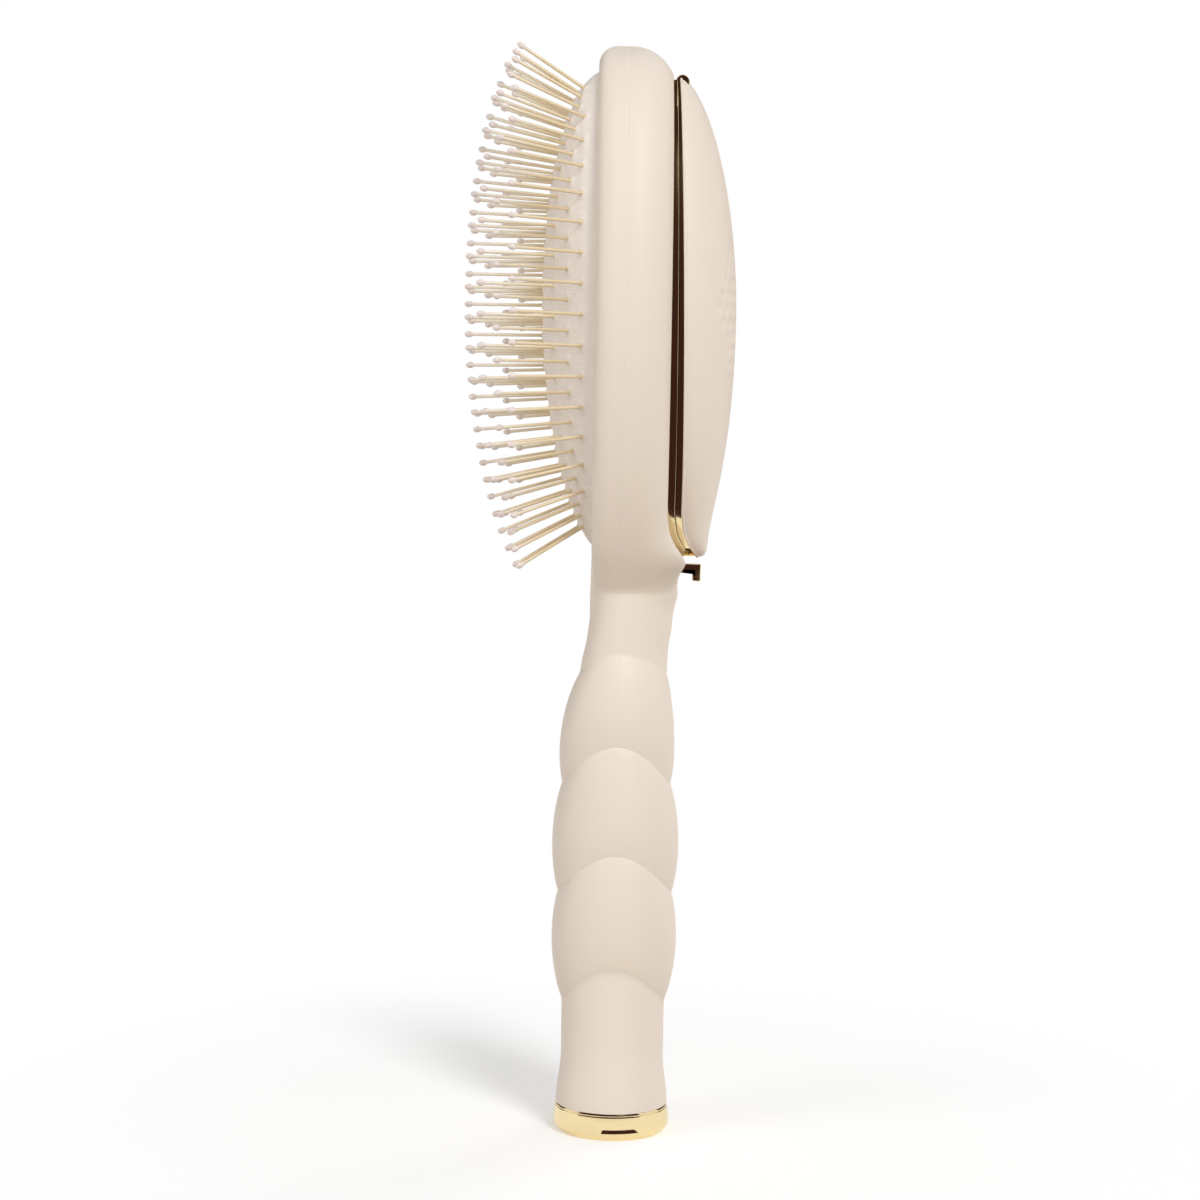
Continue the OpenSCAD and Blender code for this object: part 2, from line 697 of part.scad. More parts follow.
module bezel_ring() {
    bevel = bezel_t * 0.15;
    color(gold_tone)
        difference() {
            union() {
                difference() {
                    band([
                        for (k = [0:band_steps - 1])
                            let (g = 360 * k / band_steps, z = bezel_c + bezel_b * sin(g))
                                band_section(g, bezel_a, bezel_b, bezel_w,
                                    seat_level(z), bezel_top(z), bevel)
                    ]);
                    block(notch_half, head_back - over, head_back + 3 * over,
                        hinge_z - knuckle_d / 3, head_z1);
                }
                for (m = [0, 1])
                    mirror([m, 0, 0])
                        translate([knuckle_len / 2 + fit, 0, 0]) {
                            translate([0, hinge_y, hinge_z])
                                rotate([0, 90, 0])
                                    cylinder(d = knuckle_d, h = ear_len, $fn = 32);
                            translate([0, head_back, hinge_z - knuckle_d])
                                cube([ear_len + knuckle_d / 2, bezel_t * (1 - taper_share), knuckle_d]);
                        }
            }
            rod_x(hinge_pin_d / 2, hinge_half + over, hinge_y, hinge_z);
            block(knuckle_len / 2 + fit, head_back - over, hinge_y + knuckle_d,
                hinge_z - knuckle_d - over, hinge_z + knuckle_d);
        }
}

module hinge_pin() {
    color(steel_tone)
        rod_x(hinge_pin_d / 2 - hinge_gap, hinge_half, hinge_y, hinge_z);
}

// Lid: metal rim with the moving knuckle
module lid_rim() {
    bevel = lid_rim_t * 0.15;
    color(gold_tone)
        difference() {
            union() {
                difference() {
                    band([
                        for (k = [0:band_steps - 1])
                            let (g = 360 * k / band_steps, z = bezel_c + bezel_b * sin(g))
                                band_section(g, bezel_a, bezel_b, bezel_w, rim_base(z), lid_edge(z), bevel)
                    ]);
                    block(notch_half, head_back, head_back + 2 * knuckle_d,
                        hinge_z - knuckle_d * 0.75, head_z1);
                }
                rod_x(knuckle_d / 2, knuckle_len / 2, hinge_y, hinge_z);
                block(knuckle_len / 2, rim_base(hinge_z), lid_edge(hinge_z),
                    hinge_z - 1.5 * knuckle_d, hinge_z - knuckle_d * 0.3);
                block(notch_half + knuckle_d, rim_base(hinge_z), lid_edge(hinge_z),
                    hinge_z - 1.5 * knuckle_d, hinge_z - knuckle_d * 0.85);
            }
            rod_x(hinge_pin_d / 2, hinge_half + over, hinge_y, hinge_z);
        }
}

// Lid cover: crown over its edge in each direction, with a steeper lower end
function lid_power(a) = 0.58 + 0.18 * max(0, sin(a)) - 0.11 * max(0, -sin(a));
function lid_crown(p, a) = pow(max(0, 1 - p * p), lid_power(a));
function lid_ring(a, b, p, h) = [
    for (k = [0:band_steps - 1])
        let (g = -360 * k / band_steps, z = bezel_c + b * p * sin(g),
            edge = mix(lid_edge(bezel_c), lid_edge(bezel_c + bezel_b * sin(g)), pow(p, 12)))
            [a * p * cos(g), edge + fit / 2 + h * lid_crown(p, g), z]
];
function lid_under(x, z) = let (u = x / (cover_a - lid_wall), v = (z - bezel_c) / (cover_b - lid_wall))
    lid_edge(bezel_c) + (lid_crown_h - lid_wall) * lid_crown(min(1, norm([u, v])), atan2(v, u));
function post_place(a) = [liner_a * post_share * cos(a), bezel_c + liner_b * post_share * sin(a)];

module lid_cover() {
    shares = [0.2, 0.4, 0.57, 0.71, 0.82, 0.9, 0.955, 0.99, 1];
    outer = [for (p = shares) lid_ring(cover_a, cover_b, p, lid_crown_h)];
    inner = [
        for (k = [len(shares) - 1:-1:0])
            lid_ring(cover_a - lid_wall, cover_b - lid_wall, shares[k], lid_crown_h - lid_wall)
    ];
    color(shell_tone)
        difference() {
            union() {
                stack(concat(outer, inner),
                    [0, lid_edge(bezel_c) + lid_crown_h, bezel_c],
                    [0, lid_edge(bezel_c) + lid_crown_h - lid_wall, bezel_c]);
                for (a = post_at)
                    let (p = post_place(a))
                        rod_y(post_r, p[0], p[1], liner_y1, lid_under(p[0], p[1]) + lid_wall / 2);
            }
            for (a = post_at)
                let (p = post_place(a))
                    rod_y(screw_r, p[0], p[1], liner_y1 - over, liner_y1 + 2 * post_r);
            block(notch_half, head_back, hinge_y + knuckle_d * 0.6, hinge_z - knuckle_d * 0.75, head_z1);
        }
}

module lid_liner() {
    color(inner_tone)
        difference() {
            slab(liner_a, liner_b, bezel_c, liner_y0, liner_y1);
            for (a = post_at)
                let (p = post_place(a))
                    rod_y(screw_r, p[0], p[1], liner_y0 - over, liner_y1 + over);
            rod_y(screw_r, 0, tongue_z0 + catch_len * 0.65, liner_y0 - over, liner_y1 + over);
        }
}

module liner_screws() {
    color(steel_tone)
        for (a = post_at)
            let (p = post_place(a))
                screw(p[0], p[1], liner_y0, liner_t + 2 * post_r - fit, -1);
}

// Tongue under the lid that snaps over the latch
module lid_catch() {
    foot_t = hook_t * 0.8;
    color(inner_tone)
        difference() {
            translate([-tongue_half, 0, 0])
                rotate([90, 0, 90])
                    linear_extrude(2 * tongue_half)
                        polygon([
                            [liner_y0, tongue_z0], [liner_y0, tongue_z0 + catch_len],
                            [liner_y0 - foot_t, tongue_z0 + catch_len],
                            [liner_y0 - foot_t, tongue_z0 + hook_t], [barb_y0, tongue_z0 + hook_t],
                            [barb_y0, barb_z0 + barb_h / 2], [barb_y0 + barb_h / 2, barb_z0],
                            [barb_y1, tongue_z0]
                        ]);
            rod_y(screw_r, 0, tongue_z0 + catch_len * 0.65, liner_y0 - 2 * over, liner_y0 + over);
        }
}

module catch_screw() {
    color(steel_tone)
        screw(0, tongue_z0 + catch_len * 0.65, liner_y0 - hook_t * 0.8, hook_t * 0.8 + liner_t, -1);
}

// Latch: hook, arm and slide bar in one piece
module latch_hook() {
    r = hook_t * 0.4;
    leg_z0 = hook_arm_z0 - hook_leg;
    color(gold_tone)
        union() {
            translate([-hook_w / 2, 0, 0])
                rotate([90, 0, 90])
                    linear_extrude(hook_w)
                        polygon([
                            [bar_y1 - fit, hook_arm_z0], [hook_y1 - hook_t, hook_arm_z0],
                            [hook_y1 - hook_t, leg_z0 + 2 * r], [hook_y1 - hook_t - r / 2, leg_z0 + 1.5 * r],
                            [hook_y1 - hook_t - r / 2, leg_z0 + r / 2], [hook_y1 - hook_t, leg_z0],
                            [hook_y1 - r, leg_z0], [hook_y1, leg_z0 + r], [hook_y1, hook_arm_z1 - r],
                            [hook_y1 - r, hook_arm_z1], [bar_y1 - fit, hook_arm_z1]
                        ]);
            translate([-bar_half, 0, 0])
                rotate([90, 0, 90])
                    linear_extrude(2 * bar_half)
                        polygon([
                            [bar_y0, bar_z0], [bar_y0 + 2 * spring_r, bar_z0],
                            [bar_y0 + 2 * spring_r, bar_z0 + hook_t], [bar_y1, bar_z0 + hook_t],
                            [bar_y1, bar_z1 - r], [bar_y1 - r, bar_z1], [bar_y0 + r, bar_z1],
                            [bar_y0, bar_z1 - 2 * r]
                        ]);
        }
}

// Guide channel that the bar runs in, with the spring's seat at its foot
module latch_guide() {
    side_x = bar_half + fit;
    color(inner_tone)
        difference() {
            union() {
                block(side_x + guide_wall, guide_y0, guide_y1, guide_z0, guide_z1);
                block(spring_r * 1.6, guide_y0, spring_y + spring_r / 2, guide_z0, spring_z0);
                for (m = [0, 1])
                    mirror([m, 0, 0])
                        translate([side_x, guide_y0, guide_z0])
                            cube([guide_wall, (bar_y0 + bar_y1) / 2 - guide_y0, guide_z1 - guide_z0]);
            }
            for (t = guide_screw_shares)
                let (z = mix(guide_z0, guide_z1, t)) {
                    rod_y(screw_r, 0, z, guide_y0 - over, guide_y1 + over);
                    rod_y(screw_head_r + fit, 0, z, guide_y1 - screw_head_h, guide_y1 + over);
                }
        }
}

module guide_screws() {
    color(steel_tone)
        for (t = guide_screw_shares)
            screw(0, mix(guide_z0, guide_z1, t), guide_y1 - screw_head_h, guide_wall + neck_front / 2, 1);
}

module latch_spring() {
    color(steel_tone)
        translate([0, spring_y, spring_z0])
            difference() {
                cylinder(r = spring_r, h = spring_len, $fn = 32);
                translate([0, 0, -over])
                    cylinder(r = spring_r - spring_wire, h = spring_len + 2 * over, $fn = 32);
            }
}

// Plug in the handle's end, the cap that snaps into it and the fine ring between cap and handle
module end_plug() {
    color(inner_tone)
        translate([0, 0, stem_z])
            difference() {
                cylinder(r = plug_r, h = plug_len, $fn = 64);
                translate([0, 0, -over])
                    cylinder(r = plug_in_r, h = plug_len - wall + over, $fn = 64);
            }
}

module end_cap() {
    edge = cap_h * 0.13;
    top = cap_h - cap_ring_h;
    rim = stem_r + stem_flare;
    steps = 5;
    color(gold_tone)
        rotate_extrude($fn = 96)
            polygon(concat(
                [[0, 0]],
                [for (k = [0:steps]) let (a = 90 * k / steps)
                    [cap_r - edge * (1.3 - sin(a)), edge * (1 - cos(a))]],
                [[cap_r, cap_h * 0.4], [rim + fit, top], [rim - cap_wall, top],
                    [rim - cap_wall, cap_wall], [stud_r, cap_wall], [stud_r, stud_z1],
                    [stud_r - cap_wall, stud_z1], [stud_r - cap_wall, cap_wall], [0, cap_wall]]
            ));
}

module cap_ring() {
    rim = stem_r + stem_flare;
    color(steel_tone)
        translate([0, 0, cap_h - cap_ring_h])
            rotate_extrude($fn = 96)
                polygon([
                    [stud_r + fit, 0], [rim + fit, 0], [rim + fit, cap_ring_h / 2],
                    [rim, cap_ring_h], [stud_r + fit, cap_ring_h]
                ]);
}

front_shell();
rear_shell();
cushion();
backing_plate();
plate_screws();
pins();
pin_tips();
compartment_tray();
tray_screws();
bezel_ring();
lid_cover();
lid_rim();
lid_liner();
liner_screws();
lid_catch();
catch_screw();
hinge_pin();
latch_hook();
latch_guide();
guide_screws();
latch_spring();
alignment_pegs();
end_plug();
end_cap();
cap_ring();
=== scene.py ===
"""Detangling brush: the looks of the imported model, laid out as an add-on and run as a script.

Lengths in the shape functions are millimetres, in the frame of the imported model: +Z runs up the
handle, -Y is the pin side and +Y is the back with the lid. They become metres in build_piece.
"""
import math
from dataclasses import dataclass, field

import bpy
import numpy as np
from bpy.props import FloatProperty, FloatVectorProperty, PointerProperty
from mathutils import Matrix, Vector


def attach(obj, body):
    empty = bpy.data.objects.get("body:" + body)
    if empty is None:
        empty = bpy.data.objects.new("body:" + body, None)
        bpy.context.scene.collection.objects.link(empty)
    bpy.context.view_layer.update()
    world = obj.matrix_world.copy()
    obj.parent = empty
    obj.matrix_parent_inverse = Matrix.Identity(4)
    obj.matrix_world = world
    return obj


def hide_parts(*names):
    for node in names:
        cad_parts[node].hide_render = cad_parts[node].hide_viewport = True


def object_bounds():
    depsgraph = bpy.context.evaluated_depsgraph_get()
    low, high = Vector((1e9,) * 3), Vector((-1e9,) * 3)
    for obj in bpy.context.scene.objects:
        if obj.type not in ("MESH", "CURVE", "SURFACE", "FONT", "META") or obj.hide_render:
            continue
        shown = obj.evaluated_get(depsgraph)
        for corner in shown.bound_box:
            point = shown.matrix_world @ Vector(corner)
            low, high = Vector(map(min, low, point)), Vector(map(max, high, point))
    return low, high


bl_info = {
    "name": "Detangling Brush",
    "version": (1, 0, 0),
    "blender": (4, 5, 0),
    "location": "3D View > Sidebar > Brush",
    "description": "Dresses the packed detangling brush with its shells, cushion, pins and metal trim",
    "category": "Object",
}

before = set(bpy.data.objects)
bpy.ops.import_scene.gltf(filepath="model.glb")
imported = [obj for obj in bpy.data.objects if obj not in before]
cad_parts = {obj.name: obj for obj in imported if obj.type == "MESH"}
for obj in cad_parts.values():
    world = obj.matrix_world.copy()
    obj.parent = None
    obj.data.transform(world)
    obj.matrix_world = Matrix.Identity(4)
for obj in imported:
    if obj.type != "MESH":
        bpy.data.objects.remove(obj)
CAD_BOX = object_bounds()
MM = 0.001
LIT_END_Y = (-0.017, -0.029)  # metres: where the pins start to turn paler, and where they end; the paler end is painted light, for light let through the pins

# Handle, neck and head, in millimetres. Half widths end in HALF, and levels along Z in Z or C.
# Sizes that follow others are rounded to 0.0001, so that rows which have to meet do so exactly
HEAD_TOP = round(CAD_BOX[1][2] / MM, 3)
CAP_H = 6.0
STEM_LEN = 27.5
STEM_R = 11.45
STEM_FLARE = 1.0
FLARE_LEN = 0.47 * STEM_LEN
CREASES = (CAP_H + STEM_LEN, 58.1, 82.2, 104.3)  # levels of the grip's narrow places
CREASE_R = (11.55, 12.65, 11.97, 9.65)
BULGE = 1.75
SADDLE = 4.6  # how far each row of the grip swings up at the sides
NECK_R = CREASE_R[-1]
NECK_FRONT = 6.5
NECK_BACK = 10.8
SHOULDER_BACK = 14.4
NECK_Z = CREASES[-1]
HEAD_Z0 = 120.0
SHOULDER_Z = HEAD_Z0 + 0.15 * (HEAD_TOP - HEAD_Z0)
SHOULDER_TOP = 0.715  # share of the way from the neck to the shoulder's end
SHOULDER_SHARE = 0.82  # share of the shoulder's depth that is left there
BLEND = (0.36, 0.42)  # start and length of the change to the head's section, in the same shares
HEAD_HALF = 29.0
HEAD_UP = 0.491 * (HEAD_TOP - HEAD_Z0)  # from the widest place to the top
HEAD_C = round(HEAD_TOP - HEAD_UP, 4)
HEAD_FRONT = 6.3
HEAD_BACK = 9.9
FRONT_EDGE = 4.0
BACK_EDGE = 9.7
BACK_WALL = BACK_EDGE * 0.1  # straight wall behind the parting line
BACK_ANGLE = math.acos(min(1.0, (HEAD_BACK - BACK_WALL) / BACK_EDGE))  # where the back's arc starts
BACK_CORNER = BACK_EDGE * (1 - math.sin(BACK_ANGLE))  # inset of that place from the edge
FLAT_SHARE = 0.64  # inner part of the head's face, as a share of its half width

# Cushion, bezel, lid and latch. Of each oval, A is half the width and B half the height
PAD_C = round(HEAD_C + 1.2, 4)
PAD_A = HEAD_HALF - 6
PAD_B = round(HEAD_UP - 6.8, 4)
PAD_CROWN = 11.6
PIN_LEN = 15.6
PIN_PITCH = 6.6
PIN_LEAN = 32  # degrees, at both ends of the head
PIN_TURN = 29  # degrees, at both sides
LEAN_POWER = (2.3, 2.9)  # how late the lean comes on, below and above the middle
PIN_INSET = (2.025, 1.5)  # from the cushion's edge to the outer pins, across and along
PIN_DOWN = 1.08
PIN_ROWS = (-15, 17)  # first and last row, in half pitches from the middle
PIN_CLOSING = 0.00155  # how the rows close up towards both ends
PIN_SQUEEZE = 0.84  # share of the width that the short rows take
PIN_FOOT = [(1.6, -0.5), (1.6, 0.25), (1.35, 0.38), (1, 0.44)]  # share of the radius, and place
PIN_OVERLAP = 0.3  # how far the shaft goes into its ball
BALL_HALF = 0.95
BALL_MOUTH = 0.9  # radius at which the ball closes on the shaft, as a share of the shaft's
PAD_ROUND = (2, 0.4)  # power of the share of the way out, and what the top adds to it
PAD_STEEP = (0.8, 0.2)  # power of the crown, and what the top takes from it
PAD_TUCK = (0.35, 0.93, 0.07)  # depth of the tuck at the edge, and its start and length as shares
PAD_SKIRT = (0.6, 1.7)  # how far behind the edge the skirt's two rows lie
DOME_SPREAD = 0.92  # under 1, the rows are wider apart in the middle
COLLAR = (0.3, 1.0)  # height and radius of the raised collar round each pin
MOAT = (0.1, 1.9, 0.7)  # depth, distance and width of the shallow ring round the collar
BEZEL_A = HEAD_HALF - 5.85
BEZEL_B = round(HEAD_UP - 6.15, 4)
BEZEL_W = 2.2
BEZEL_T = 1.7
RIM_T = 1.7
SEAM = 0.15
TRIM_TAPER = 0.5
TAPER_FROM = 0.7  # how far below the head's centre it starts, as a share of the ring's half height
TAPER_POWER = 1.35
COVER_A = round(BEZEL_A + 0.15, 4)
COVER_B = round(BEZEL_B + 0.3, 4)
LID_CROWN = 11.7
LID_WALL = 1.8
LID_POWER = (0.58, 0.18, 0.11)  # power of the crown, what the top adds and what the foot takes
LID_EDGE = 0.3
DIMPLE_PITCH = 3.4
DIMPLE_ROWS = 9
DIMPLE_R = 1.3
HINGE_SET = 2.01  # how far the hinge lies behind the head's back and inside the ring's top
HINGE_Y = HEAD_BACK + HINGE_SET
HINGE_Z = round(HEAD_C + BEZEL_B - HINGE_SET, 4)
KNUCKLE_R = 1.5
KNUCKLE_HALF = 2.8
EAR_LEN = 0.92 * KNUCKLE_HALF
NOTCH_HALF = KNUCKLE_HALF + SEAM + EAR_LEN + 0.3
EAR_FOOT = (1.9, 3, 4.9)  # half width, reach below the hinge, and distance from the middle
LEAF = (4.5, 0.9)  # the knuckle's leaf: how far below the hinge it starts and ends
BRIDGE = (3, 2.55)  # the bridge beside it: how far it passes the notch, and how low it ends
HOOK_HALF = 3.5
HOOK_T = 1.55
HOOK_Z0 = 125.206
HOOK_Z1 = HOOK_Z0 + HOOK_T
HOOK_Y0 = 7.0
HOOK_Y1 = 17.9
HOOK_RADII = [0, 0.2, 0.2, 0.2, 0.35, 0.5, 0.35, 0]  # of the corners, from the root round the claw
HOOK_EDGE = 0.3
HOOK_LEG = 2.35
HOOK_BARB = 0.34
SLIDE_HALF = 3.01
SLIDE_EDGE = 0.15
SLIDE = [(5.81, 117.92), (7.28, 117.92), (7.28, 131.5), (6.7, 131.87), (6.4, 131.87), (5.81, 130.6)]
SLOT_HALF, SLOT_Z0, SLOT_Z1 = 3.8, 122.55, 126.91
SLOT_DEEP = 6.5
SLOT_NEAR = (112, 8), (136, 6)  # start and length of the change of columns, below and above it
LIP_R = 0.4
LIP_GAP = 0.05
LIP_DEEP = 1.9
BACK_HOLE_INSET = 1.1

# Rows and columns of the skins
HEAD_ROWS_Z0 = 119.9
ROW_GAP = 0.25
FLARE_ROWS, STEM_ROWS, BUBBLE_ROWS, NECK_ROWS, LOW_ROWS, CROWN_ROWS = 9, 11, 34, 21, 25, 90
PARTING_COLUMNS, WALL_COLUMNS, FLAT_COLUMNS, SLOT_COLUMNS = 9, 45, 25, 16
DOME_ROWS, DOME_SIDES = 110, 300
LID_ROWS, LID_SIDES = 150, 420
RING_SIDES, TRIM_STEPS = 360, 400
PIN_SIDES, BALL_ROWS, BALL_SIDES = 10, 8, 12
CAP_ROWS, CAP_SIDES = 24, 160
GROOVE_HALF = 0.11
GROOVE_DEPTH = (0.02, 0.07)  # along the handle and along the head
GROOVE_CHANGE = (78, 16)  # start and length of the change from the one to the other


# Small maths -----------------------------------------------------------------------------------


def smooth_table(pairs):
    """A curve through the pairs that never overshoots: each knot's slope is the harmonic mean of
    its two neighbours' slopes, and zero where they differ in sign, with cubics in between."""
    x = np.array([p[0] for p in pairs], float)
    y = np.array([p[1] for p in pairs], float)
    h, d = np.diff(x), np.diff(y) / np.diff(x)
    m = np.zeros_like(x)
    m[0], m[-1] = d[0], d[-1]
    same = d[:-1] * d[1:] > 0
    m[1:-1][same] = 2 * d[:-1][same] * d[1:][same] / (d[:-1] + d[1:])[same]

    def curve(t):
        t = np.clip(np.asarray(t, float), x[0], x[-1])
        i = np.clip(np.searchsorted(x, t, side="right") - 1, 0, len(h) - 1)
        u = (t - x[i]) / h[i]
        return (
            y[i] * (1 + 2 * u) * (1 - u) ** 2
            + h[i] * m[i] * u * (1 - u) ** 2
            + y[i + 1] * u * u * (3 - 2 * u)
            + h[i] * m[i + 1] * u * u * (u - 1)
        )

    return curve


def ease(t):
    """Smooth step from 0 to 1: three t squared less two t cubed, on t held between 0 and 1."""
    t = np.clip(t, 0, 1)
    return t * t * (3 - 2 * t)


def mix(a, b, t):
    """Straight mix of a and b by the share t."""
    return a + (b - a) * t


def cosine_steps(n):
    """n + 1 shares from 0 to 1 that crowd at both ends: half of one less the cosine of a half turn."""
    return (1 - np.cos(np.pi * np.arange(n + 1) / n)) / 2


def full_turn(n):
    """n directions evenly round a full turn, from zero."""
    return np.linspace(0, 2 * np.pi, n, endpoint=False)


def corner(edge, steps=5):
    """A quarter circle of radius edge in steps: how far each one is short of the end, and how far
    it is drawn in."""
    t = np.linspace(0, np.pi / 2, steps)
    return edge * (1 - np.sin(t)), edge * (1 - np.cos(t))


def points_of(x, y, z):
    """Points from three sets of coordinates, spread to one shape."""
    return np.stack(np.broadcast_arrays(x, y, z), -1)


def grid_normals(p, at, axis, sign):
    """Unit normals of a grid of points: the cross product of its two directions of change, turned
    over where the normal at the given place doesn't have the sign along the axis."""
    n = np.cross(np.gradient(p, axis=0), np.gradient(p, axis=1))
    n /= np.maximum(np.linalg.norm(n, axis=2, keepdims=True), 1e-12)
    return -n if n[at][axis] * sign < 0 else n


# Mesh making -----------------------------------------------------------------------------------


def grid_quads(rows, cols, wrap_rows=False, wrap_cols=False, turn=False, start=0):
    """Corner numbers of the quads of a grid stored row by row, closed round where asked."""
    i = np.arange(rows if wrap_rows else rows - 1)[:, None]
    j = np.arange(cols if wrap_cols else cols - 1)[None, :]
    i1, j1 = (i + 1) % rows, (j + 1) % cols
    a, b, c, d = i * cols + j, i * cols + j1, i1 * cols + j1, i1 * cols + j
    q = np.stack(np.broadcast_arrays(a, b, c, d), -1).reshape(-1, 4) + start
    return q[:, ::-1] if turn else q


def join(parts):
    """One list of points and one of quads from several (points, quads) pairs."""
    points, quads, n = [], [], 0
    for p, q in parts:
        p = np.asarray(p, float).reshape(-1, 3)
        points.append(p)
        quads.append(np.asarray(q) + n)
        n += len(p)
    return np.concatenate(points), np.concatenate(quads)


def weld(points, quads, step=1e-4):
    """Merges points that round to the same place, and drops what that flattens: a quad that loses
    one corner becomes a triangle and one that loses more goes."""
    key = np.round(points / step).astype(np.int64)
    _, first, back = np.unique(key, axis=0, return_index=True, return_inverse=True)
    q = back.reshape(-1)[quads]
    same = np.stack([q[:, k] == q[:, (k + 1) % 4] for k in range(4)], 1)
    full = q[same.sum(1) == 0]
    full = full[(full[:, 0] != full[:, 2]) & (full[:, 1] != full[:, 3])]
    one = same.sum(1) == 1
    tri = q[one][~same[one]].reshape(-1, 3)
    tri = tri[(tri != np.roll(tri, 1, 1)).all(1)]
    return points[first], full.tolist() + tri.tolist()


def placed(name, data):
    """A new object in the scene."""
    thing = bpy.data.objects.new(name, data)
    bpy.context.scene.collection.objects.link(thing)
    return thing


def build_piece(name, parts, body, finish, angle, node):
    """Makes the mesh of a piece from its (points, quads) parts in millimetres, shades it smooth
    with edges over the angle kept sharp, and lets it ride on its body in the node's place. The
    name of the finish is also that of its slot."""
    points, faces = weld(*join(parts))
    mesh = bpy.data.meshes.new(name)
    mesh.from_pydata((points * MM).tolist(), [], faces)
    mesh.validate()
    mesh.update()
    mesh.shade_smooth()
    if angle:
        mesh.set_sharp_from_angle(angle=math.radians(angle))
    mesh.materials.append(finishes()[finish])
    piece = placed(name, mesh)
    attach(piece, body)
    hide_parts(node)
    return piece


def sweep_ring(profile, a, b, centre, level, turns):
    """A profile of (outward, along y) points carried round an oval. Each point lies on the oval
    moved outward along its own normal, and its y starts from the level."""
    c, s = np.cos(turns), np.sin(turns)
    nx, nz = c / a, s / b
    size = np.hypot(nx, nz)
    nx, nz = nx / size, nz / size
    prof = np.asarray(profile, float)
    x = (a * c)[:, None] + nx[:, None] * prof[None, :, 0]
    z = (centre + b * s)[:, None] + nz[:, None] * prof[None, :, 0]
    return points_of(x, level + prof[None, :, 1], z)


def rounded(corners, radii, steps=5):
    """A closed outline whose corners are rounded: each corner is a quadratic curve from one
    tangent point to the other, pulled to the corner."""
    pts = np.asarray(corners, float)
    out = []
    for k in range(len(pts)):
        p, q, r = pts[k - 1], pts[k], pts[(k + 1) % len(pts)]
        radius = radii[k] if hasattr(radii, "__len__") else radii
        if radius <= 0:
            out.append(q[None])
            continue
        u = (p - q) / np.linalg.norm(p - q)
        v = (r - q) / np.linalg.norm(r - q)
        t = np.linspace(0, 1, steps + 1)[:, None]
        s, e = q + u * radius, q + v * radius
        out.append(s * (1 - t) ** 2 + 2 * q * t * (1 - t) + e * t**2)
    return np.concatenate(out)


def bar_of(outline, half, edge):
    """A bar along X with the outline of (y, z) points as its section and both ends rounded over
    by edge: sections drawn in by the quarter circle of the edge, then closed by a fan."""
    o = np.asarray(outline, float)
    d = np.roll(o, -1, 0) - np.roll(o, 1, 0)
    nrm = np.stack([d[:, 1], -d[:, 0]], 1)
    nrm /= np.linalg.norm(nrm, axis=1, keepdims=True)
    area = 0.5 * np.sum(o[:, 0] * np.roll(o[:, 1], -1) - np.roll(o[:, 0], -1) * o[:, 1])
    nrm *= np.sign(area)
    short, inset = corner(edge)
    along = half - short
    x = np.concatenate([-along[::-1], along])
    inset = np.concatenate([inset[::-1], inset])
    section = o[None] - nrm[None] * inset[:, None, None]
    ends = np.broadcast_to(o.mean(0), (1, *o.shape))
    x = np.concatenate([x[:1], x, x[-1:]])
    section = np.concatenate([ends, section, ends])
    p = np.concatenate([np.broadcast_to(x[:, None, None], (*section.shape[:2], 1)), section], 2)
    return p.reshape(-1, 3), grid_quads(len(x), len(o), wrap_cols=True, turn=area > 0)


def turned(profile, centre=(0, 0, 0), axis="z", sides=96):
    """A profile of (radius, along) points turned round the Z or X axis."""
    prof = np.asarray(profile, float)
    g = full_turn(sides)
    r, h = prof[:, 0][:, None], np.broadcast_to(prof[:, 1][:, None], (len(prof), sides))
    u, v = r * np.cos(g), r * np.sin(g)
    p = np.stack([u, v, h] if axis == "z" else [h, u, v], -1)
    return (p + np.array(centre, float)).reshape(-1, 3), grid_quads(len(prof), sides, wrap_cols=True)


# Body skin -------------------------------------------------------------------------------------

BACK = [
    (0, 0), (0.13, 0.05), (0.2, 0.14), (0.26, 0.25), (0.33, 0.31), (0.4, 0.44), (0.46, 0.6),
    (0.53, 0.56), (0.59, 0.68), (0.67, 1), (SHOULDER_TOP, SHOULDER_SHARE),
]
SLOPE = [(SHOULDER_TOP, SHOULDER_SHARE), (0.79, 0.42), (0.88, 0.12), (1, 0)]
FRONT = [(0, 0.8), (0.07, 0.65), (0.13, 0.45), (0.2, 0.22), (0.26, 0.1), (0.33, 0), (1, 0)]
back_rise, back_slope, front_swell = smooth_table(BACK), smooth_table(SLOPE), smooth_table(FRONT)
saddle_rise = smooth_table(
    [(CAP_H, 0), (20, 0.45), *zip(CREASES, (0.88, 1.04, 0.99, 0.5)), (HEAD_Z0, 0)]
)


def handle_radius(s):
    """Stem: its radius, plus a flare at the foot that fades as a half cosine. Bubble: a straight
    mix of its two crease radii, plus the bulge times four t (1 - t) to a power just under one."""
    s = np.asarray(s, float)
    out = STEM_R + STEM_FLARE * (1 + np.cos(np.pi * np.clip((s - CAP_H) / (FLARE_LEN), 0, 1))) / 2
    for k, (z0, z1) in enumerate(zip(CREASES, CREASES[1:])):
        t = (s - z0) / (z1 - z0)
        r = mix(CREASE_R[k], CREASE_R[k + 1], t)
        r = r + BULGE * np.clip(4 * t * (1 - t), 0, None) ** 0.85
        out = np.where((s >= z0) & (s <= z1), r, out)
    return out


def body_half_width(s):
    """Handle radius up to the neck, then the cubic norm of the neck's radius and the head oval."""
    down = HEAD_C - HEAD_Z0
    oval = HEAD_HALF * np.sqrt(np.clip(1 - ((HEAD_C - s) / down) ** 2, 0, None))
    oval = np.where(s <= HEAD_Z0, 0, oval)
    return np.where(s <= NECK_Z, handle_radius(np.minimum(s, NECK_Z)), np.cbrt(NECK_R**3 + oval**3))


